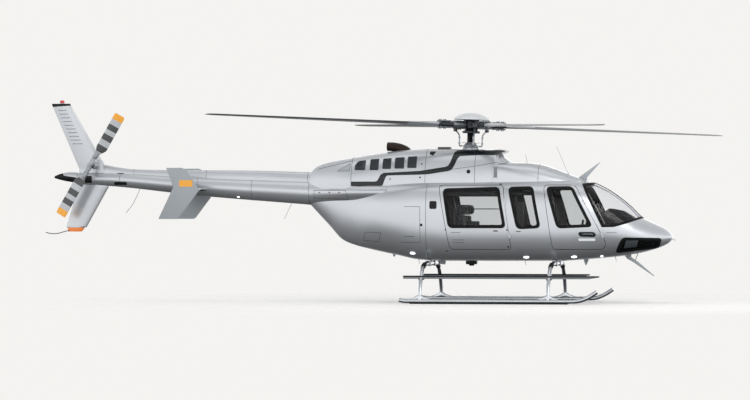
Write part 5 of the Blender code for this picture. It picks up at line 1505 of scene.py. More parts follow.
for name, x in zip(("aft", "front"), LEG_X):
    left_path = through([(x, y, z) for y, z in LEG_PATH], 3)
    right_path = [Vector((x, -p.y, p.z)) for p in left_path]
    leg = tube(f"cross_tube_{name}_bar", left_path + right_path[::-1], LEG_RADIUS, 6, False)
    dress(leg, BRIGHT_TUBE, stands_for=[f"cross_tube_{name}"])
    for half in (left_path, right_path):
        held = [p for p in half if 0.585 < p.z < 0.650 and abs(p.y) > 0.4]
        if len(held) > 1:
            dress(tube(f"{name}_leg_clamp", held, LEG_RADIUS + 0.007, 5, False), BLACK_PLASTIC)
    feet, clamps = [], []
    for side in SIDES.values():
        feet.append(loft(f"foot_{name}", [foot_ring(x, side, k / 12) for k in range(-12, 13)]))
        for dx in (-0.11, 0.11):
            feet.append(upright(f"foot_bolt_{name}", x + dx, side * SKID_Y, 0.05, 0.108, 0.010))
        y0, y1 = sorted((side * 0.22, side * 0.30))
        clamps.append(eased_box(f"clamp_{name}", (x - 0.045, y0, 0.622), (x + 0.045, y1, 0.705), 0.008))
        for dx in (-0.030, 0.030):
            clamps.append(upright(f"clamp_bolt_{name}", x + dx, side * 0.26, 0.612, 0.624, 0.010))
    dress(joined(f"skid_feet_{name}", feet), BRIGHT_TUBE)
    dress(joined(f"leg_clamps_{name}", clamps), STEEL)

# %% Steps
STEP_Y, STEP_Z = 0.985, (0.415, 0.465)
STEP_FRONT = {"right": 3.96, "left": 3.56}


def step_ring(outline, inward, radius, side, z):
    """The board's outline at a height, drawn in and with turned corners."""
    return [Vector((p.x, side * p.y, z)) for p in rounded(offset(outline, inward), radius, 4)]


steel_brackets = []
for side_name, side in SIDES.items():
    front = STEP_FRONT[side_name]
    outline = [
        (0.66, STEP_Y - 0.035), (0.72, STEP_Y - 0.070), (front - 0.26, STEP_Y - 0.070), (front, STEP_Y + 0.030),
        (front, STEP_Y + 0.045), (front - 0.08, STEP_Y + 0.070), (0.72, STEP_Y + 0.070), (0.66, STEP_Y + 0.035),
    ]
    step = loft(f"step_{side_name}_board", [step_ring(outline, 0.0, 0.03, side, z) for z in STEP_Z])
    nose_cut = [(front - 0.26, 0.40), (front + 0.02, 0.40), (front + 0.02, 0.450)]
    trim(step, prism(f"step_nose_{side_name}", nose_cut, side * 0.8, side * 1.2))
    round_edges(step, 0.005)
    dress(step, STEP_GREY, stands_for=[f"step_{side_name}"])
    edge_rings = [
        [step_ring(outline, inward, 0.03, side, z) for z in (0.4435, 0.4650)] for inward in (-0.0012, 0.004)
    ]
    dress(sleeve(f"step_{side_name}_edge", *edge_rings), TREAD)
    top = loft(f"step_{side_name}_tread", [step_ring(outline, 0.012, 0.02, side, z) for z in (0.4654, 0.4672)])
    dress(top, TREAD)
    for x in LEG_X:
        y0, y1 = sorted((side * 0.955, side * 1.03))
        steel_brackets.append(eased_box("step_bracket", (x - 0.05, y0, 0.395), (x + 0.05, y1, 0.4148), 0.006))
dress(joined("step_brackets", steel_brackets), STEEL)

# %% [markdown]
# ## Inside the cabin
# Two front seats face forward, a two-seat bench faces aft behind them, and a bench for three stands at the rear wall.
# Padding is simulated: a plain block is remeshed into small faces, blown up a little by cloth pressure and held within
# about a centimetre of its start, so its faces crown while its edges stay tight.

# %% Fabric
FABRIC = finish("woven_wool_seat_cloth", "#2b2f36", "#22262c", 0.92, 160, 5, 0.50, 0.04, Sheen_Weight=0.35)
TRIM_CLOTH = finish("grey_leather_trim", "#4b4f55", "#40444a", 0.60, 140, 3, 0.15, 0.06)
WEBBING = finish("woven_polyester_webbing", "#1c1e21", "#26292c", 0.85, 60, 3, 0.30)


def near_start(obj, start, reach):
    """Holds every point within reach of where it started."""
    for vert, first in zip(obj.data.vertices, start):
        moved = vert.co - first
        if moved.length > reach:
            vert.co = first + moved.normalized() * reach


def pad(name, low, high, reach):
    """A stuffed cushion in the space between two corners."""
    low, high = Vector(low), Vector(high)
    swell = Vector((1, 1, 1)) * reach * 0.8
    obj = eased_box(name, low + swell, high - swell, 0.028, 4)
    remesh = obj.modifiers.new("remesh", "REMESH")
    remesh.mode = "VOXEL"
    remesh.voxel_size = 0.006
    settle(obj)
    start = [vert.co.copy() for vert in obj.data.vertices]
    cloth = obj.modifiers.new("stuffing", "CLOTH")
    cloth.settings.use_pressure = True
    cloth.settings.uniform_pressure_force = 4.0
    cloth.settings.effector_weights.gravity = 0.0
    cloth.settings.quality = 4
    cloth.point_cache.frame_start = 1
    cloth.point_cache.frame_end = 20
    for step in range(1, 21):
        bpy.context.scene.frame_set(step)
    settle(obj)
    bpy.context.scene.frame_set(1)
    near_start(obj, start, reach)
    thin = obj.modifiers.new("thin", "DECIMATE")
    thin.ratio = 0.30
    soften = obj.modifiers.new("soften", "SMOOTH")
    soften.iterations = 3
    settle(obj)
    for vert in obj.data.vertices:
        for axis in range(3):
            vert.co[axis] = min(max(vert.co[axis], low[axis]), high[axis])
    return obj


def copy_of(obj, name, place):
    made = placed(name, obj.data.copy())
    made.data.transform(place)
    return made


SEAT_PAD = pad("seat_pad_pattern", (-0.20, -0.205, 0.0), (0.20, 0.205, 0.115), 0.014)
BACK_PAD = pad("back_pad_pattern", (-0.05, -0.205, 0.0), (0.05, 0.205, 0.52), 0.012)
HEAD_PAD = pad("head_pad_pattern", (-0.045, -0.120, 0.0), (0.045, 0.120, 0.19), 0.010)
print("pads simulated:", [len(p.data.polygons) for p in (SEAT_PAD, BACK_PAD, HEAD_PAD)])


def upholster(name, pattern, place, cloth=FABRIC, stands_for=(), scale=(1, 1, 1)):
    made = copy_of(pattern, name, place @ Matrix.Diagonal((*scale, 1.0)))
    dress(made, cloth, stands_for=stands_for, sharp=60)
    return made


def lean(x, y, z, degrees):
    """A place and a lean about Y; a positive lean tips the top aft."""
    return Matrix.Translation((x, y, z)) @ Matrix.Rotation(math.radians(-degrees), 4, "Y")


# %% Front seats
SEAT_Y = 0.285
frames = []
for side_name, side in SIDES.items():
    y = side * SEAT_Y
    upholster(
        f"front_cushion_{side_name}", SEAT_PAD, lean(3.285, y, 1.115, 3), stands_for=[f"front_seat_{side_name}"],
    )
    upholster(f"front_back_{side_name}", BACK_PAD, lean(3.075, y, 1.180, 9), scale=(1, 1, 0.86))
    upholster(f"front_headrest_{side_name}", HEAD_PAD, lean(2.985, y, 1.665, 4), TRIM_CLOTH)
    frames.append(eased_box("seat_pan", (3.03, y - 0.19, 1.055), (3.46, y + 0.19, 1.112), 0.015))
    back_shell = box("back_shell", (-0.075, -0.20, 0.0), (-0.052, 0.20, 0.47))
    back_shell.data.transform(lean(3.075, y, 1.175, 9))
    frames.append(round_edges(back_shell, 0.010))
    for dy in (-0.15, 0.15):
        for leg in (((2.95, 0.872), (3.02, 0.98), (3.06, 1.06)), ((3.38, 0.872), (3.37, 0.96), (3.34, 1.06))):
            frames.append(tube("seat_leg", [(x, y + dy, z) for x, z in leg], 0.013))
        frames.append(eased_box("seat_rail", (2.90, y + dy - 0.016, 0.8662), (3.46, y + dy + 0.016, 0.882), 0.003))
    for dy in (-0.05, 0.05):
        frames.append(rod_between("head_post", (2.998, y + dy, 1.60), (2.992, y + dy, 1.70), 0.006, 12))
dress(joined("front_seat_frames", frames), BLACK_PLASTIC)

# %% Benches
frames = []
for side_name, side in SIDES.items():
    y = side * 0.262
    upholster(
        f"middle_cushion_{side_name}", SEAT_PAD, lean(2.205, y, 1.095, 0), scale=(0.82, 1.24, 1),
        stands_for=["middle_seat"] if side < 0 else (),
    )
    upholster(f"middle_back_{side_name}", BACK_PAD, lean(2.405, y, 1.175, -3), scale=(0.9, 1.24, 1.02))
    frames.append(eased_box("bench_back", (2.475, y - 0.245, 1.10), (2.498, y + 0.245, 1.70), 0.010))
frames.append(eased_box("bench_box", (2.10, -0.51, 0.867), (2.49, 0.51, 1.092), 0.020))
for number, y in enumerate((-0.345, 0.0, 0.345)):
    upholster(
        f"rear_cushion_{number + 1}", SEAT_PAD, lean(1.71, y, 1.115, 2), scale=(0.70, 0.835, 1),
        stands_for=["rear_seat"] if number == 0 else (),
    )
    upholster(f"rear_back_{number + 1}", BACK_PAD, lean(1.565, y, 1.18, 5), scale=(1.0, 0.835, 0.58))
    upholster(
        f"rear_headrest_{number + 1}", HEAD_PAD, lean(1.560, y, 1.478, 2), scale=(2.15, 1.3, 0.94),
    )
for name, low, high, width in (
    ("rear_bench_box", (1.08, -0.51, 0.867), (1.78, 0.51, 1.11), 0.020),
    ("rear_armrest", (1.60, -0.20, 1.300), (1.83, -0.145, 1.375), 0.020),
    ("rear_arm_post", (1.62, -0.19, 1.15), (1.66, -0.155, 1.310), 0.008),
    ("rear_shelf", (1.06, -0.51, 1.105), (1.44, 0.51, 1.155), 0.010),
    ("rear_back_shell", (1.425, -0.51, 1.10), (1.475, 0.51, 1.58), 0.015),
):
    frames.append(eased_box(name, low, high, width))
for side in SIDES.values():
    for low, high, ends in ((1.795, 1.905, (1.16, 2.34)), (1.815, 1.925, (2.36, 2.98))):
        y0, y1 = sorted((side * 0.47, side * 0.62))
        frames.append(eased_box("side_soffit", (ends[0], y0, low), (ends[1], y1, high), 0.020))
dress(joined("bench_frames", frames), LINING)
RAIL_Z = 1.581
for side_name, side in SIDES.items():
    rail = [(x, side * (skin_y(x, RAIL_Z) - 0.022), RAIL_Z) for x in stations(1.47, 2.19, 0.06)]
    dress(tube(f"aft_window_rail_{side_name}", rail, 0.007), BLACK_PLASTIC, f"aft_door_{side_name}")
for pattern in (SEAT_PAD, BACK_PAD, HEAD_PAD):
    bpy.data.objects.remove(pattern, do_unlink=True)

# %% [markdown]
# ### Belts
# A belt is flat webbing that lies on the pad, so it is a thin strip along a path, not a tube.

# %% Belts
BELT_WIDE, BELT_THICK = 0.045, 0.0022


def strap(name, path, across=Vector((0, 1, 0))):
    """A flat strip along a path; across is the way its width runs."""
    route = through(path, 4)
    rings = []
    for i, here in enumerate(route):
        run = (route[min(i + 1, len(route) - 1)] - route[max(i - 1, 0)]).normalized()
        normal = run.cross(across).normalized()
        rings.append([
            here + across * a * BELT_WIDE / 2 + normal * b * BELT_THICK / 2
            for a, b in ((-1, -1), (1, -1), (1, 1), (-1, 1))
        ])
    return loft(name, rings)


belts, buckles = [], []
for side in SIDES.values():
    y = side * SEAT_Y
    for dy in (-0.085, 0.085):
        belts.append(strap("shoulder_belt", [
            (2.975, y + dy, 1.655), (3.050, y + dy * 0.95, 1.640), (3.108, y + dy * 0.85, 1.50),
            (3.150, y + dy * 0.7, 1.34), (3.20, y + dy * 0.3, 1.245),
        ]))
    belts.append(strap("lap_belt", [
        (3.12, y - 0.205, 1.20), (3.20, y - 0.14, 1.236), (3.235, y, 1.243), (3.20, y + 0.14, 1.236),
        (3.12, y + 0.205, 1.20),
    ], Vector((0.5, 0, 0.87)).normalized()))
    buckles.append(eased_box("buckle", (3.215, y - 0.028, 1.238), (3.265, y + 0.028, 1.262), 0.006))
dress(joined("front_belts", belts), WEBBING)
dress(joined("belt_buckles", buckles), STEEL)

# %% Console and instrument panel
SCREEN = finish("unlit_display_glass", "#0a0d10", "#0e1216", 0.10, 80, 20, 0.0, 0.02, Coat_Weight=0.4)
DIAL_WHITE = finish("white_dial_enamel", "#d8dadb", "#c9cccd", 0.50, 60, 3, 0.0)
console = box("console_box", (3.72, -0.11, FLOOR_TOP + 0.006), (4.20, 0.11, 1.36))
trim(console, prism("console_slope", [(3.60, 1.10), (3.98, 1.36), (3.98, 1.50), (3.60, 1.50)], -0.2, 0.2))
round_edges(console, 0.008)
HOOD = [(3.98, 1.30), (4.42, 1.28), (4.42, 1.44), (4.24, 1.55), (4.04, 1.59), (3.98, 1.55)]
hood = round_edges(prism("hood_block", HOOD, -0.30, 0.30, False), 0.012)
dress(
    joined("instrument_console_skin", [console, hood]), BLACK_PLASTIC, stands_for=["instrument_console"],
)
DIAL_Z, DIAL_RADIUS, TICK_RADIUS, RIM = 1.355, 0.027, 0.0215, 0.010
screens, rims, marks = [], [], []
for y, z, half, high in ((-0.185, 1.46, 0.075, 0.060), (0.185, 1.46, 0.075, 0.060), (0.0, 1.475, 0.070, 0.050)):
    screens.append(eased_box("display", (3.9765, y - half, z - high), (3.982, y + half, z + high), 0.002))
    wide, tall = half + RIM, high + RIM
    rims.append(eased_box("display_rim", (3.9785, y - wide, z - tall), (3.9855, y + wide, z + tall), 0.003))
for y in (-0.24, -0.16, -0.08, 0.0, 0.08, 0.16, 0.24):
    face = Matrix.Translation((3.9795, y, DIAL_Z)) @ Matrix.Rotation(-math.pi / 2, 4, "Y")
    rims.append(turned(
        "dial_rim", [(DIAL_RADIUS, 0.007), (0.031, 0.005), (0.031, -0.002), (DIAL_RADIUS, -0.002)], 28, face,
    ))
    screens.append(turned(
        "dial_face", [(0, 0.0015), (DIAL_RADIUS, 0.0015), (DIAL_RADIUS, -0.002), (0, -0.002)], 28, face,
    ))
    for j in range(9):
        turn = math.radians(-130 + 32.5 * j)
        centre = Vector((3.9775, y + TICK_RADIUS * math.sin(turn), DIAL_Z + TICK_RADIUS * math.cos(turn)))
        marks.append(box("tick", centre - Vector((0.0005, 0.0012, 0.0012)), centre + Vector((0.0008, 0.0012, 0.0012))))
SLOPE = Matrix.Translation((3.79, 0, 1.2305)) @ Matrix.Rotation(-math.atan2(0.26, 0.38), 4, "Y")
for x in (-0.06, 0.04, 0.14):
    radio = box("radio", (x - 0.05, -0.095, -0.002), (x + 0.04, 0.095, 0.004))
    window = box("radio_window", (x - 0.015, -0.055, 0.0035), (x + 0.015, 0.055, 0.005))
    knobs = [upright("radio_knob", x, y, 0.003, 0.018, 0.009, 16) for y in (-0.078, 0.078)]
    for obj in (radio, window, *knobs):
        obj.data.transform(SLOPE)
    rims += [radio, *knobs]
    screens.append(window)
dress(joined("panel_screens", screens), SCREEN)
dress(joined("panel_rims", rims), INK)
dress(joined("dial_ticks", marks), DIAL_WHITE)

# %% Flight controls
sticks = []
for side in SIDES.values():
    y = side * SEAT_Y
    sticks.append(tube("cyclic", [(3.60, y, 0.868), (3.60, y, 1.00), (3.57, y, 1.15), (3.585, y, 1.30)], 0.011))
    sticks.append(round_edges(rod_between("cyclic_grip", (3.585, y, 1.28), (3.600, y, 1.40), 0.019, 16), 0.006))
    sticks.append(rod_between("cyclic_boot", (3.60, y, 0.866), (3.60, y, 0.93), 0.045, 20, 0.014))
    beside = y - 0.235
    sticks.append(tube("collective", [(3.05, beside, 0.95), (3.25, beside, 1.05), (3.42, beside, 1.16)], 0.011))
    sticks.append(rod_between("collective_grip", (3.40, beside, 1.146), (3.48, beside, 1.20), 0.019, 16))
    for dy in (-0.09, 0.09):
        foot = 0.8 * (y + dy)
        sticks.append(tube("pedal_arm", [(4.20, foot, 0.93), (4.15, foot, 1.03)], 0.008, flow=False))
        sticks.append(eased_box("pedal", (4.125, foot - 0.035, 1.01), (4.14, foot + 0.035, 1.09), 0.005))
dress(joined("flight_controls", sticks), BLACK_PLASTIC)

# %% [markdown]
# ## Seams, latches and small fittings
# Up close an aircraft is all edges: panel seams, rivets, latches, hinges, lights and antennas. Seams are drawn as
# narrow dark bands a fraction of a millimetre proud of the skin. Rows of rivets follow paths on the skin, so Geometry
# Nodes set them out.

# %% Bands and strips on the skin
SEAM_WIDE, SEAM_LIFT, SEAM_DEEP = 0.007, 0.0006, 0.003


def girdle(ring_at, x, wide=SEAM_WIDE):
    """A narrow band all round a skin at one station."""
    ends = (x - wide / 2, x + wide / 2)
    return sleeve("girdle", [ring_at(end, SEAM_LIFT) for end in ends], [ring_at(end, -SEAM_DEEP) for end in ends])


def strip(points):
    """The outline of a narrow strip along a line of points in X and Z."""
    upper, lower = [], []
    for i, here in enumerate(points):
        run = (Vector(points[min(i + 1, len(points) - 1)]) - Vector(points[max(i - 1, 0)])).normalized()
        normal = Vector((-run.y, run.x)) * SEAM_WIDE / 2
        upper.append(Vector(here) + normal)
        lower.append(Vector(here) - normal)
    return upper + lower[::-1]


def block_outline(x0, x1, z0, z1, radius=0.0):
    """A rectangle, with turned corners where a radius is given."""
    corners = [(x0, z0), (x1, z0), (x1, z1), (x0, z1)]
    return rounded(corners, radius, 5) if radius else corners


bands = [girdle(lambda x, grow: hull_ring(x, -grow), CABIN_REAR)]
bands += [girdle(cowl_ring, x) for x in (AFT_JOIN, ENGINE_JOIN, 1.79)]
bands += [girdle(hump_ring, 2.854)]
bands += [girdle(boom_ring, x, 0.006) for x in (-1.103, -2.10, -3.05, -4.42)]
bands += [girdle(spine_ring, x, 0.006) for x in (-1.140, -2.911, -4.181)]
dress(joined("skin_seams", bands), INK)
for name, skin, lines in (
    ("cowl_strips", "cowl", [
        [(0.955, 2.203), (1.30, 2.235), (1.80, 2.300), (2.235, 2.378)], [(-0.95, 2.255), (-0.333, 2.395)],
        [(-0.585, 2.222), (-0.36, 2.222)], [(-0.36, 2.222), (-0.36, 2.350)], [(-0.36, 2.350), (-0.585, 2.222)],
    ]),
    ("rear_strips", "hull", [
        [(-0.085, 1.190), (0.205, 1.180)], [(0.205, 1.180), (0.160, 1.030)], [(0.160, 1.030), (-0.125, 1.050)],
        [(-0.125, 1.050), (-0.085, 1.190)], [(0.62, 1.62), (0.90, 1.62)], [(0.90, 1.62), (0.90, 1.02)],
        [(0.90, 1.02), (0.56, 1.02)],
    ]),
    ("shoulder_strips", "shoulder", [
        [(-1.00, 1.895), (-0.42, 1.895)], [(-0.42, 1.895), (-0.38, 1.740)], [(-0.38, 1.740), (-1.00, 1.765)],
        [(-1.00, 1.765), (-1.00, 1.895)],
    ]),
):
    for number, line in enumerate(lines):
        mark(f"{name}_{number}", skin, strip(line), INK, near=0.02)

# %% Marks and small covers on the skin
for name, skin, outline, material in (
    ("baggage_latch", "hull", block_outline(1.064, 1.188, 1.580, 1.714, 0.030), BLACK_PLASTIC),
    ("pillar_latch", "hull", block_outline(2.366, 2.392, 1.218, 1.240, 0.008), BLACK_PLASTIC),
    ("door_stop_mark", "hull", block_outline(2.222, 2.268, 1.990, 2.006), BLACK_PLASTIC),
    ("sill_mark", "hull", block_outline(1.335, 1.363, 0.868, 0.884), BLACK_PLASTIC),
    ("post_mark", "hull", block_outline(1.330, 1.352, 1.222, 1.246), BLACK_PLASTIC),
    ("nose_dash", "hull", block_outline(4.035, 4.200, 1.183, 1.190), INK),
    ("rear_dash", "hull", block_outline(0.62, 0.80, 1.115, 1.124), INK),
    ("rear_cap", "hull", block_outline(0.905, 0.945, 1.29, 1.335, 0.012), BLACK_PLASTIC),
    ("cowl_spot", "cowl", block_outline(1.654, 1.718, 2.176, 2.240, 0.030), BLACK_PLASTIC),
    ("cowl_inlet", "cowl", [(1.004, 2.552), (1.108, 2.552), (1.070, 2.480), (1.004, 2.500)], BLACK_PLASTIC),
    ("cowl_dot_1", "cowl", block_outline(0.875, 0.902, 2.327, 2.349, 0.008), BLACK_PLASTIC),
    ("cowl_dot_2", "cowl", block_outline(0.338, 0.362, 2.074, 2.096, 0.008), BLACK_PLASTIC),
    ("cowl_dot_3", "cowl", block_outline(0.850, 0.880, 2.100, 2.124, 0.008), BLACK_PLASTIC),
    ("vent_back", "hump", block_outline(2.112, 2.176, 2.105, 2.282, 0.006), PLATE_GREY),
    ("chin_panel", "hull", [(4.306, 0.925), (4.354, 1.055), (4.550, 1.055), (4.510, 0.945)], GRILLE_MESH),
    ("fairing_panel", "cowl", [(-0.575, 2.226), (-0.364, 2.226), (-0.364, 2.343)], PLATE_GREY),
    ("spine_slot", "spine", block_outline(-4.474, -4.363, 2.163, 2.200), BLACK_PLASTIC),
    ("boom_plate", "boom", block_outline(-4.521, -4.292, 1.992, 2.046, 0.026), BLACK_PLASTIC),
    ("gear_window", "boom", block_outline(-5.041, -4.915, 2.030, 2.150, 0.010), BLACK_PLASTIC),
):
    mark(name, skin, outline, material)

# %% Marks that ride on the doors
WHITE_LINE = finish("white_handle_enamel", "#e8eaeb", "#dcdfe0", 0.35, 120, 5, 0.0)
HANDLE = [
    (3.600, 1.118), (3.840, 1.112), (3.868, 1.140), (3.840, 1.190), (3.800, 1.198), (3.590, 1.198), (3.566, 1.170),
]
for side_name, side in SIDES.items():
    crew, aft = f"crew_door_{side_name}", f"aft_door_{side_name}"
    middle = "airframe" if side_name == "right" else "middle_door_left"
    for name, body, outline, material in (
        ("handle_recess", crew, rounded(HANDLE, 0.03, 5), BLACK_PLASTIC),
        ("handle_line", crew, block_outline(3.575, 3.850, 1.048, 1.088, 0.018), WHITE_LINE),
        ("aft_latch", aft, block_outline(2.145, 2.225, 1.203, 1.222, 0.008), BLACK_PLASTIC),
        ("aft_dash_1", aft, block_outline(1.430, 1.590, 1.183, 1.191), INK),
        ("aft_dash_2", aft, block_outline(1.455, 1.650, 1.015, 1.022), INK),
        ("aft_dash_3", aft, block_outline(1.455, 1.650, 1.060, 1.067), INK),
        ("aft_corner", aft, block_outline(2.375, 2.405, 0.935, 0.960, 0.008), BLACK_PLASTIC),
        ("middle_latch", middle, block_outline(2.530, 2.610, 1.198, 1.210, 0.005), BLACK_PLASTIC),
    ):
        mark(f"{name}_{side_name}", "hull", outline, material, body, (side,), near=0.40)
    lever = [
        (x, side * (skin_y(x, 1.158) + 0.012), z)
        for x, z in ((3.640, 1.160), (3.70, 1.163), (3.76, 1.161), (3.815, 1.156))
    ]
    dress(tube(f"handle_lever_{side_name}", lever, 0.009), STEEL, crew)
    feet = []
    for x, z in ((3.645, 1.160), (3.81, 1.156)):
        inner, outer = ((x, side * (skin_y(x, z) + out), z) for out in (-0.004, 0.014))
        feet.append(rod_between("lever_foot", inner, outer, 0.007, 12))
    dress(joined(f"handle_feet_{side_name}", feet), STEEL, crew)

# %% Door hinges
def axis_point(kind, side, z):
    (x0, z0), (x1, z1) = DOORS[kind]["axis"]
    return Vector((x0 + (x1 - x0) * (z - z0) / (z1 - z0), side * DOORS[kind]["out"], z))


fixed_halves = []
for side_name, side in SIDES.items():
    for kind in DOORS:
        if kind == "middle" and side_name == "right":
            continue
        halves = []
        for z in (1.14, 1.70):
            start = axis_point(kind, side, z)
            along = (axis_point(kind, side, z + 1) - start).normalized()
            skin = Vector((start.x, side * (skin_y(start.x, z) - 0.006), z))
            for half, way, gap in ((halves, along, 0.0), (fixed_halves, -along, 0.0006)):
                aft = Vector((-0.022 if half is halves else 0.022, 0, 0))
                half.append(rod_between("hinge_barrel", start + way * gap, start + way * (gap + 0.045), 0.0088, 20))
                half.append(rod_between("hinge_leaf", start + way * 0.022, skin + way * 0.022 + aft, 0.006, 12))
        dress(joined(f"{kind}_hinges_{side_name}", halves), PAINT, f"{kind}_door_{side_name}")
dress(joined("frame_hinges", fixed_halves), PAINT)

# %% A tree that sets rivets along paths
RIVETS, given, out, steps, outward = spaced_tree("rivets_along_paths", "Radius", "Height")
head = add(RIVETS, "GeometryNodeMeshCylinder", {"Vertices": 8, "Radius": given["Radius"], "Depth": given["Height"]})
set_out(RIVETS, given, out, steps, head, outward)


RIVET_LIFT = 0.0004


def ring_line(ring_at, x, first=0.0, last=1.0):
    """Places and facings round a skin at one station, for a share of the way round."""
    ring = ring_at(x, RIVET_LIFT)
    middle = sum(ring, Vector()) / len(ring)
    chosen = ring[round(first * len(ring)):round(last * len(ring)) + 1]
    return [(p, Vector((0, p.y, p.z - middle.z)).normalized()) for p in chosen]


lines = []
for x in (0.975, 1.025, 4.045, 4.095):
    for side in SIDES.values():
        zs = [0.86 + 1.1 * k / 24 for k in range(25)] if x < 2 else [0.95 + 0.28 * k / 8 for k in range(9)]
        lines.append([(Vector((x, side * skin_y(x, z, -RIVET_LIFT), z)), Vector((0, side, 0))) for z in zs])
for x in (-0.355, -0.305, 0.925, 0.975, 1.765, 1.815):
    lines.append(ring_line(cowl_ring, x, 0.10, 0.90))
for x in (-1.135, -2.08, -2.12, -3.03, -3.07, -4.40, -4.44, -5.14):
    round_boom = ring_line(boom_ring, x)
    lines.append([*round_boom, round_boom[0]])
COWL_FOOT = 2.105
for side in SIDES.values():
    lines.append([
        (Vector((x, side * cowl_y(x, COWL_FOOT, -RIVET_LIFT), COWL_FOOT)), Vector((0, side, 0.2)).normalized())
        for x in stations(-0.80, 2.16, 0.05)
    ])
    lines.append([
        (Vector((x, side * (smooth(SPINE_WIDTH, x) + 0.0002), smooth(SPINE_TOP, x) - 0.090)), Vector((0, side, 0)))
        for x in stations(-4.60, -1.16, 0.05)
    ])
    behind = [(fin_row(FIN_UPPER, z)[0] - 0.10, z) for z in stations(2.40, 3.30, 0.05)]
    lines.append([
        (Vector((x, side * (fin_y(FIN_UPPER, x, z) + 0.0002), z)), Vector((0, side, 0))) for x, z in behind
    ])
rivets = grow(paths("skin_rivets", lines), RIVETS, Spacing=0.050, Radius=0.0032, Height=0.0012, Finish=PLATE_GREY)
dress(rivets, PLATE_GREY)

# %% Louvres on the fin, slats in the vent
LOUVRE_SECTION = ((-0.004, 0.0002), (0.004, 0.0002), (0.001, 0.005), (-0.004, 0.005))
louvres = []
for k in range(10):
    share = k / 9
    x0, x1, z = -5.535 + 0.255 * share, -5.385 + 0.290 * share, 3.280 - 0.576 * share
    for side in SIDES.values():
        louvres.append(loft("louvre", [
            [Vector((x, side * (fin_y(FIN_UPPER, x, z) + lift), z + dz)) for dz, lift in LOUVRE_SECTION]
            for x in stations(x0, x1, 0.03)
        ]))
dress(joined("fin_louvres", louvres), BAND_DARK)
VENT_X, VENT_POWER = 2.144, 5.4


def vent_y(z):
    """How far out the roof fairing's skin is at the vent."""
    part = (z - HUMP_BASE) / (smooth(HUMP_TOP, VENT_X) - HUMP_BASE)
    return smooth(HUMP_WIDTH, VENT_X) * (1 - part**VENT_POWER) ** (1 / VENT_POWER)


vent_lines = [[
    (Vector((VENT_X, side * (vent_y(z) + 0.002), z)), Vector((0, side, 0.1)).normalized())
    for z in [2.115 + 0.16 * k / 6 for k in range(7)]
] for side in SIDES.values()]
vent = grow(paths("vent_slats", vent_lines), BARS, Spacing=0.016, Length=0.056, Width=0.006, Depth=0.004, Finish=INK)
dress(vent, INK)

# %% [markdown]
# ### Antennas, lights and cutters
# Whips and blades stand on the roof, the belly and the boom. The wire cutters are thin steel blades in the plane of
# symmetry, and each leaves a notch at its foot, where a wire would meet a cutting edge.

# %% Antennas
rods = [
    tube("whip", [
        (x, -0.12, z) for x, z in ((3.335, 2.150), (3.290, 2.260), (3.210, 2.450), (3.133, 2.630))
    ], 0.0035),
    rod_between("whip_foot", (3.345, -0.12, 2.130), (3.328, -0.12, 2.185), 0.014, 16, 0.007),
    tube("roof_rod", [(2.620, 0.0, 2.360), (2.605, 0.0, 2.430), (2.589, 0.0, 2.500)], 0.004),
    tube("boom_rod_1", [(-4.080, 0.0, 1.950), (-4.200, 0.0, 1.690), (-4.336, 0.0, 1.512)], 0.005),
    tube("boom_rod_2", [(-1.415, 0.0, 1.700), (-1.490, 0.0, 1.560), (-1.558, 0.0, 1.410)], 0.004),
    tube("nose_probe", [(5.060, 0.0, 1.085), (5.095, 0.0, 1.066), (5.128, 0.0, 1.058)], 0.005),
]
for x, top, low in ((0.76, 0.735, 0.65), (2.58, 0.70, 0.63), (4.11, 0.775, 0.70)):
    rods.append(rod_between("belly_rod", (x, 0.0, top), (x + 0.02, 0.0, low), 0.006, 12, 0.003))
dress(joined("antenna_rods", rods), PLATE_GREY)
blades = [
    prism("belly_blade", [(3.57, 0.745), (3.67, 0.745), (3.625, 0.635), (3.605, 0.635)], -0.006, 0.006, False),
    prism("belly_fin", [(1.09, 0.715), (1.23, 0.715), (1.22, 0.640), (1.12, 0.650)], -0.010, 0.010, False),
    prism("aft_blade", [(0.30, 0.840), (0.38, 0.825), (0.35, 0.770), (0.335, 0.770)], -0.005, 0.005, False),
]
for blade in blades:
    trim(blade, hull)
dress(joined("antenna_blades", blades), PLATE_GREY)
plate = eased_box("roof_plate", (1.104, -0.10, 2.597), (1.317, 0.10, 2.630), 0.008)
dress(plate, BAND_DARK)
hook = eased_box("belly_unit", (1.58, -0.07, 0.645), (1.76, 0.07, 0.715), 0.010)
eye = turned(
    "unit_eye", [(0, 0.0), (0.040, 0.0), (0.048, -0.012), (0.040, -0.024), (0, -0.024)], 32,
    Matrix.Translation((1.67, 0, 0.645)),
)
trim(hook, hull)
dress(joined("belly_unit_skin", [hook, eye]), BLACK_PLASTIC, stands_for=["belly_hook"])

# %% Wire cutters
CUTTER_HALF = 0.0075
upper = prism("upper_cutter_blade", [
    (3.475, 2.060), (3.640, 2.020), (3.632, 2.110), (3.858, 2.362), (3.848, 2.366), (3.500, 2.118),
], -CUTTER_HALF, CUTTER_HALF, False)
trim(upper, hull, loft("hump_block", [hump_ring(x, GAP) for x in stations(3.2, 3.72, 0.04)], True))
round_edges(upper, 0.002, 2)
dress(upper, PLATE_GREY, stands_for=["wire_cutter_upper"])
lower = prism("lower_cutter_blade", [
    (4.235, 0.840), (4.370, 0.870), (4.385, 0.770), (4.500, 0.692), (4.770, 0.462), (4.758, 0.452), (4.410, 0.690),
    (4.310, 0.745),
], -CUTTER_HALF, CUTTER_HALF, False)
strut = rod_between("cutter_strut", (4.505, 0, 0.860), (4.445, 0, 0.715), 0.007, 16)
trim(lower, hull)
trim(strut, hull)
round_edges(lower, 0.002, 2)
dress(joined("lower_cutter_skin", [lower, strut]), PLATE_GREY, stands_for=["wire_cutter_lower"])

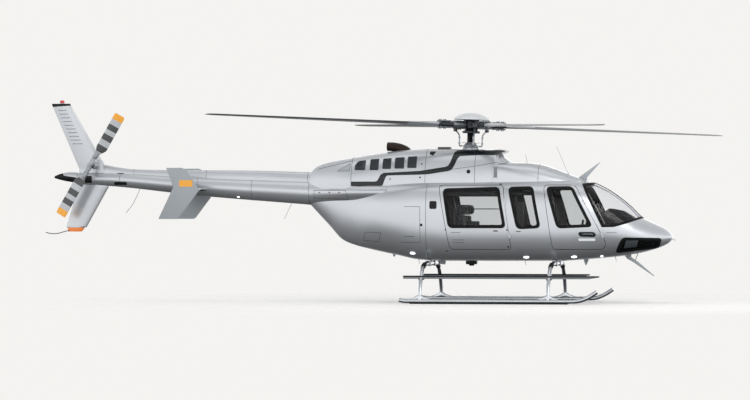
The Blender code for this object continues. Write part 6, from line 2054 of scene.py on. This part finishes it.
# %% Lights
GLOW = finish("lit_lamp_lens", "#ffffff", "#f6f8ff", 0.20, 60, 5, 0.0)
glow_inputs = GLOW.node_tree.nodes["Principled BSDF"].inputs
glow_inputs["Emission Color"].default_value = linear("#f7faff")
glow_inputs["Emission Strength"].default_value = 1.6


def lens(x, side, z, wide, high, deep, centre=None):
    """A flattened dome on the skin."""
    bm = bmesh.new()
    y = side * skin_y(x, z) if centre is None else centre
    place = Matrix.Translation((x, y, z)) @ Matrix.Diagonal((wide, deep, high, 1.0))
    bmesh.ops.create_uvsphere(bm, u_segments=32, v_segments=16, radius=1.0, matrix=place)
    return piece("lens", bm)


lamps = []
for x, z in ((0.743, 0.835), (2.670, 0.772), (3.469, 0.780)):
    lamps += [lens(x, side, z, 0.050, 0.020, 0.030) for side in SIDES.values()]
lamps += [lens(3.921, side, 0.790, 0.028, 0.018, 0.024) for side in SIDES.values()]
lamps += [lens(-2.337, side, 1.790, 0.028, 0.016, 0.020, side * 0.105) for side in SIDES.values()]
dress(joined("skin_lamps", lamps), GLOW)
scoops = [
    lens(x, side, SHOULDER_MIDDLE - 0.002, 0.020, 0.010, 0.016, side * (smooth(SHOULDER_WIDTH, x) - 0.002))
    for x in (-0.90, -0.72, -0.54) for side in SIDES.values()
]
dress(joined("shoulder_scoops", scoops), STEEL)
REFLECTOR = [
    (0, -0.030), (0.030, -0.024), (0.052, 0.0), (0.058, 0.0), (0.058, -0.010), (0.034, -0.036), (0, -0.042),
]
reflectors = []
for side in SIDES.values():
    face_out = Matrix.Rotation(side * math.radians(-62), 4, "Z") @ Matrix.Rotation(math.radians(90), 4, "Y")
    place = Matrix.Translation((4.60, side * 0.335, 1.015)) @ face_out
    reflectors.append(turned("landing_light", REFLECTOR, 32, place))
dress(joined("landing_lights", reflectors), DOME_METAL)

# %% [markdown]
# ## Studio
# The picture was taken against a plain pale ground with soft light from above and ahead. The world is brightest round
# the horizon, dimmer overhead and dark below, so the silver sides grade from light to dark as real sides do. Rays from
# the camera, also those through glass, see an even pale backdrop.

# %% World
world = bpy.data.worlds.new("soft_studio")
bpy.context.scene.world = world
world.use_nodes = True
sky = world.node_tree
background = sky.nodes["Background"]
toward = add(sky, "ShaderNodeTexCoord", {}).outputs["Generated"]
height = add(sky, "ShaderNodeSeparateXYZ", {"Vector": toward}).outputs["Z"]
ramp = add(sky, "ShaderNodeValToRGB", {"Fac": add(sky, "ShaderNodeMapRange", {
    "Value": height, "From Min": -1.0, "From Max": 1.0, "To Min": 0.0, "To Max": 1.0,
}).outputs["Result"]})
SKY_STOPS = [
    (0.0, 0.05), (0.28, 0.12), (0.38, 0.72), (0.44, 1.45), (0.50, 1.90), (0.60, 1.85), (0.72, 1.00), (1.0, 0.55),
]
stops = ramp.color_ramp.elements
stops[1].position = SKY_STOPS[-1][0]
for place, level in SKY_STOPS[1:-1]:
    stops.new(place)
for stop, (place, level) in zip(stops, SKY_STOPS):
    stop.color = (level, level, level * 1.01, 1.0)
path = add(sky, "ShaderNodeLightPath", {})
seen = add(sky, "ShaderNodeMath", {
    "Value": path.outputs["Is Camera Ray"], "Value_001": path.outputs["Is Transmission Ray"],
}, operation="MAXIMUM")
backdrop = add(sky, "ShaderNodeMix", {
    "Factor_Float": seen.outputs["Value"], "A_Color": ramp.outputs["Color"], "B_Color": linear("#f4f3f1"),
}, data_type="RGBA")
sky.links.new(socket(backdrop.outputs, "Result_Color"), background.inputs["Color"])

# %% Lamps and floor
def softbox(name, place, aim, wide, high, watts):
    lamp = bpy.data.lights.new(name, "AREA")
    lamp.shape = "RECTANGLE"
    lamp.size, lamp.size_y, lamp.energy = wide, high, watts
    obj = placed(name, lamp)
    obj.location = place
    obj.rotation_euler = (Vector(aim) - Vector(place)).to_track_quat("-Z", "Y").to_euler()


softbox("overhead", (0.5, -2.0, 13.0), (0.5, 0.0, 2.0), 14.0, 7.0, 260)
softbox("front_side", (9.0, -9.0, 6.5), (1.0, 0.0, 1.8), 6.0, 5.0, 380)

FLOOR = bpy.data.materials.new("matt_studio_floor")
FLOOR.use_nodes = True
tree = FLOOR.node_tree
shader = tree.nodes["Principled BSDF"]
shader.inputs["Roughness"].default_value = 0.9
place = add(tree, "ShaderNodeTexCoord", {}).outputs["Object"]
speckle = add(tree, "ShaderNodeTexNoise", {"Vector": place, "Scale": 4.0, "Detail": 3.0})
tone = add(tree, "ShaderNodeMix", {
    "Factor_Float": speckle.outputs["Fac"], "A_Color": linear("#f0efed"), "B_Color": linear("#ecebe9"),
}, data_type="RGBA")
tree.links.new(socket(tone.outputs, "Result_Color"), shader.inputs["Base Color"])
FLOOR_X = 1.6
off_centre = add(tree, "ShaderNodeVectorMath", {"Vector": place, "Vector_001": (FLOOR_X, 0, 0)}, operation="SUBTRACT")
distance = add(tree, "ShaderNodeVectorMath", {"Vector": off_centre.outputs["Vector"]}, operation="LENGTH")
fade = add(tree, "ShaderNodeMapRange", {
    "Value": distance.outputs["Value"], "From Min": 2.0, "From Max": 9.0, "To Min": 1.0, "To Max": 0.0,
}, interpolation_type="SMOOTHSTEP")
tree.links.new(fade.outputs["Result"], shader.inputs["Alpha"])
bm = bmesh.new()
bmesh.ops.create_circle(bm, cap_ends=True, radius=9.2, segments=64, matrix=Matrix.Translation((FLOOR_X, 0, -0.001)))
floor = piece("studio_floor", bm)
floor.visible_glossy = False
floor.visible_diffuse = False
floor.data.materials.append(FLOOR)
bpy.context.scene.view_settings.view_transform = "Standard"
print("studio ready")

# %% [markdown]
# ## Clearing up
# The blocks that only trimmed other pieces are removed.

# %% Finish
for obj in SPARE:
    bpy.data.objects.remove(obj, do_unlink=True)
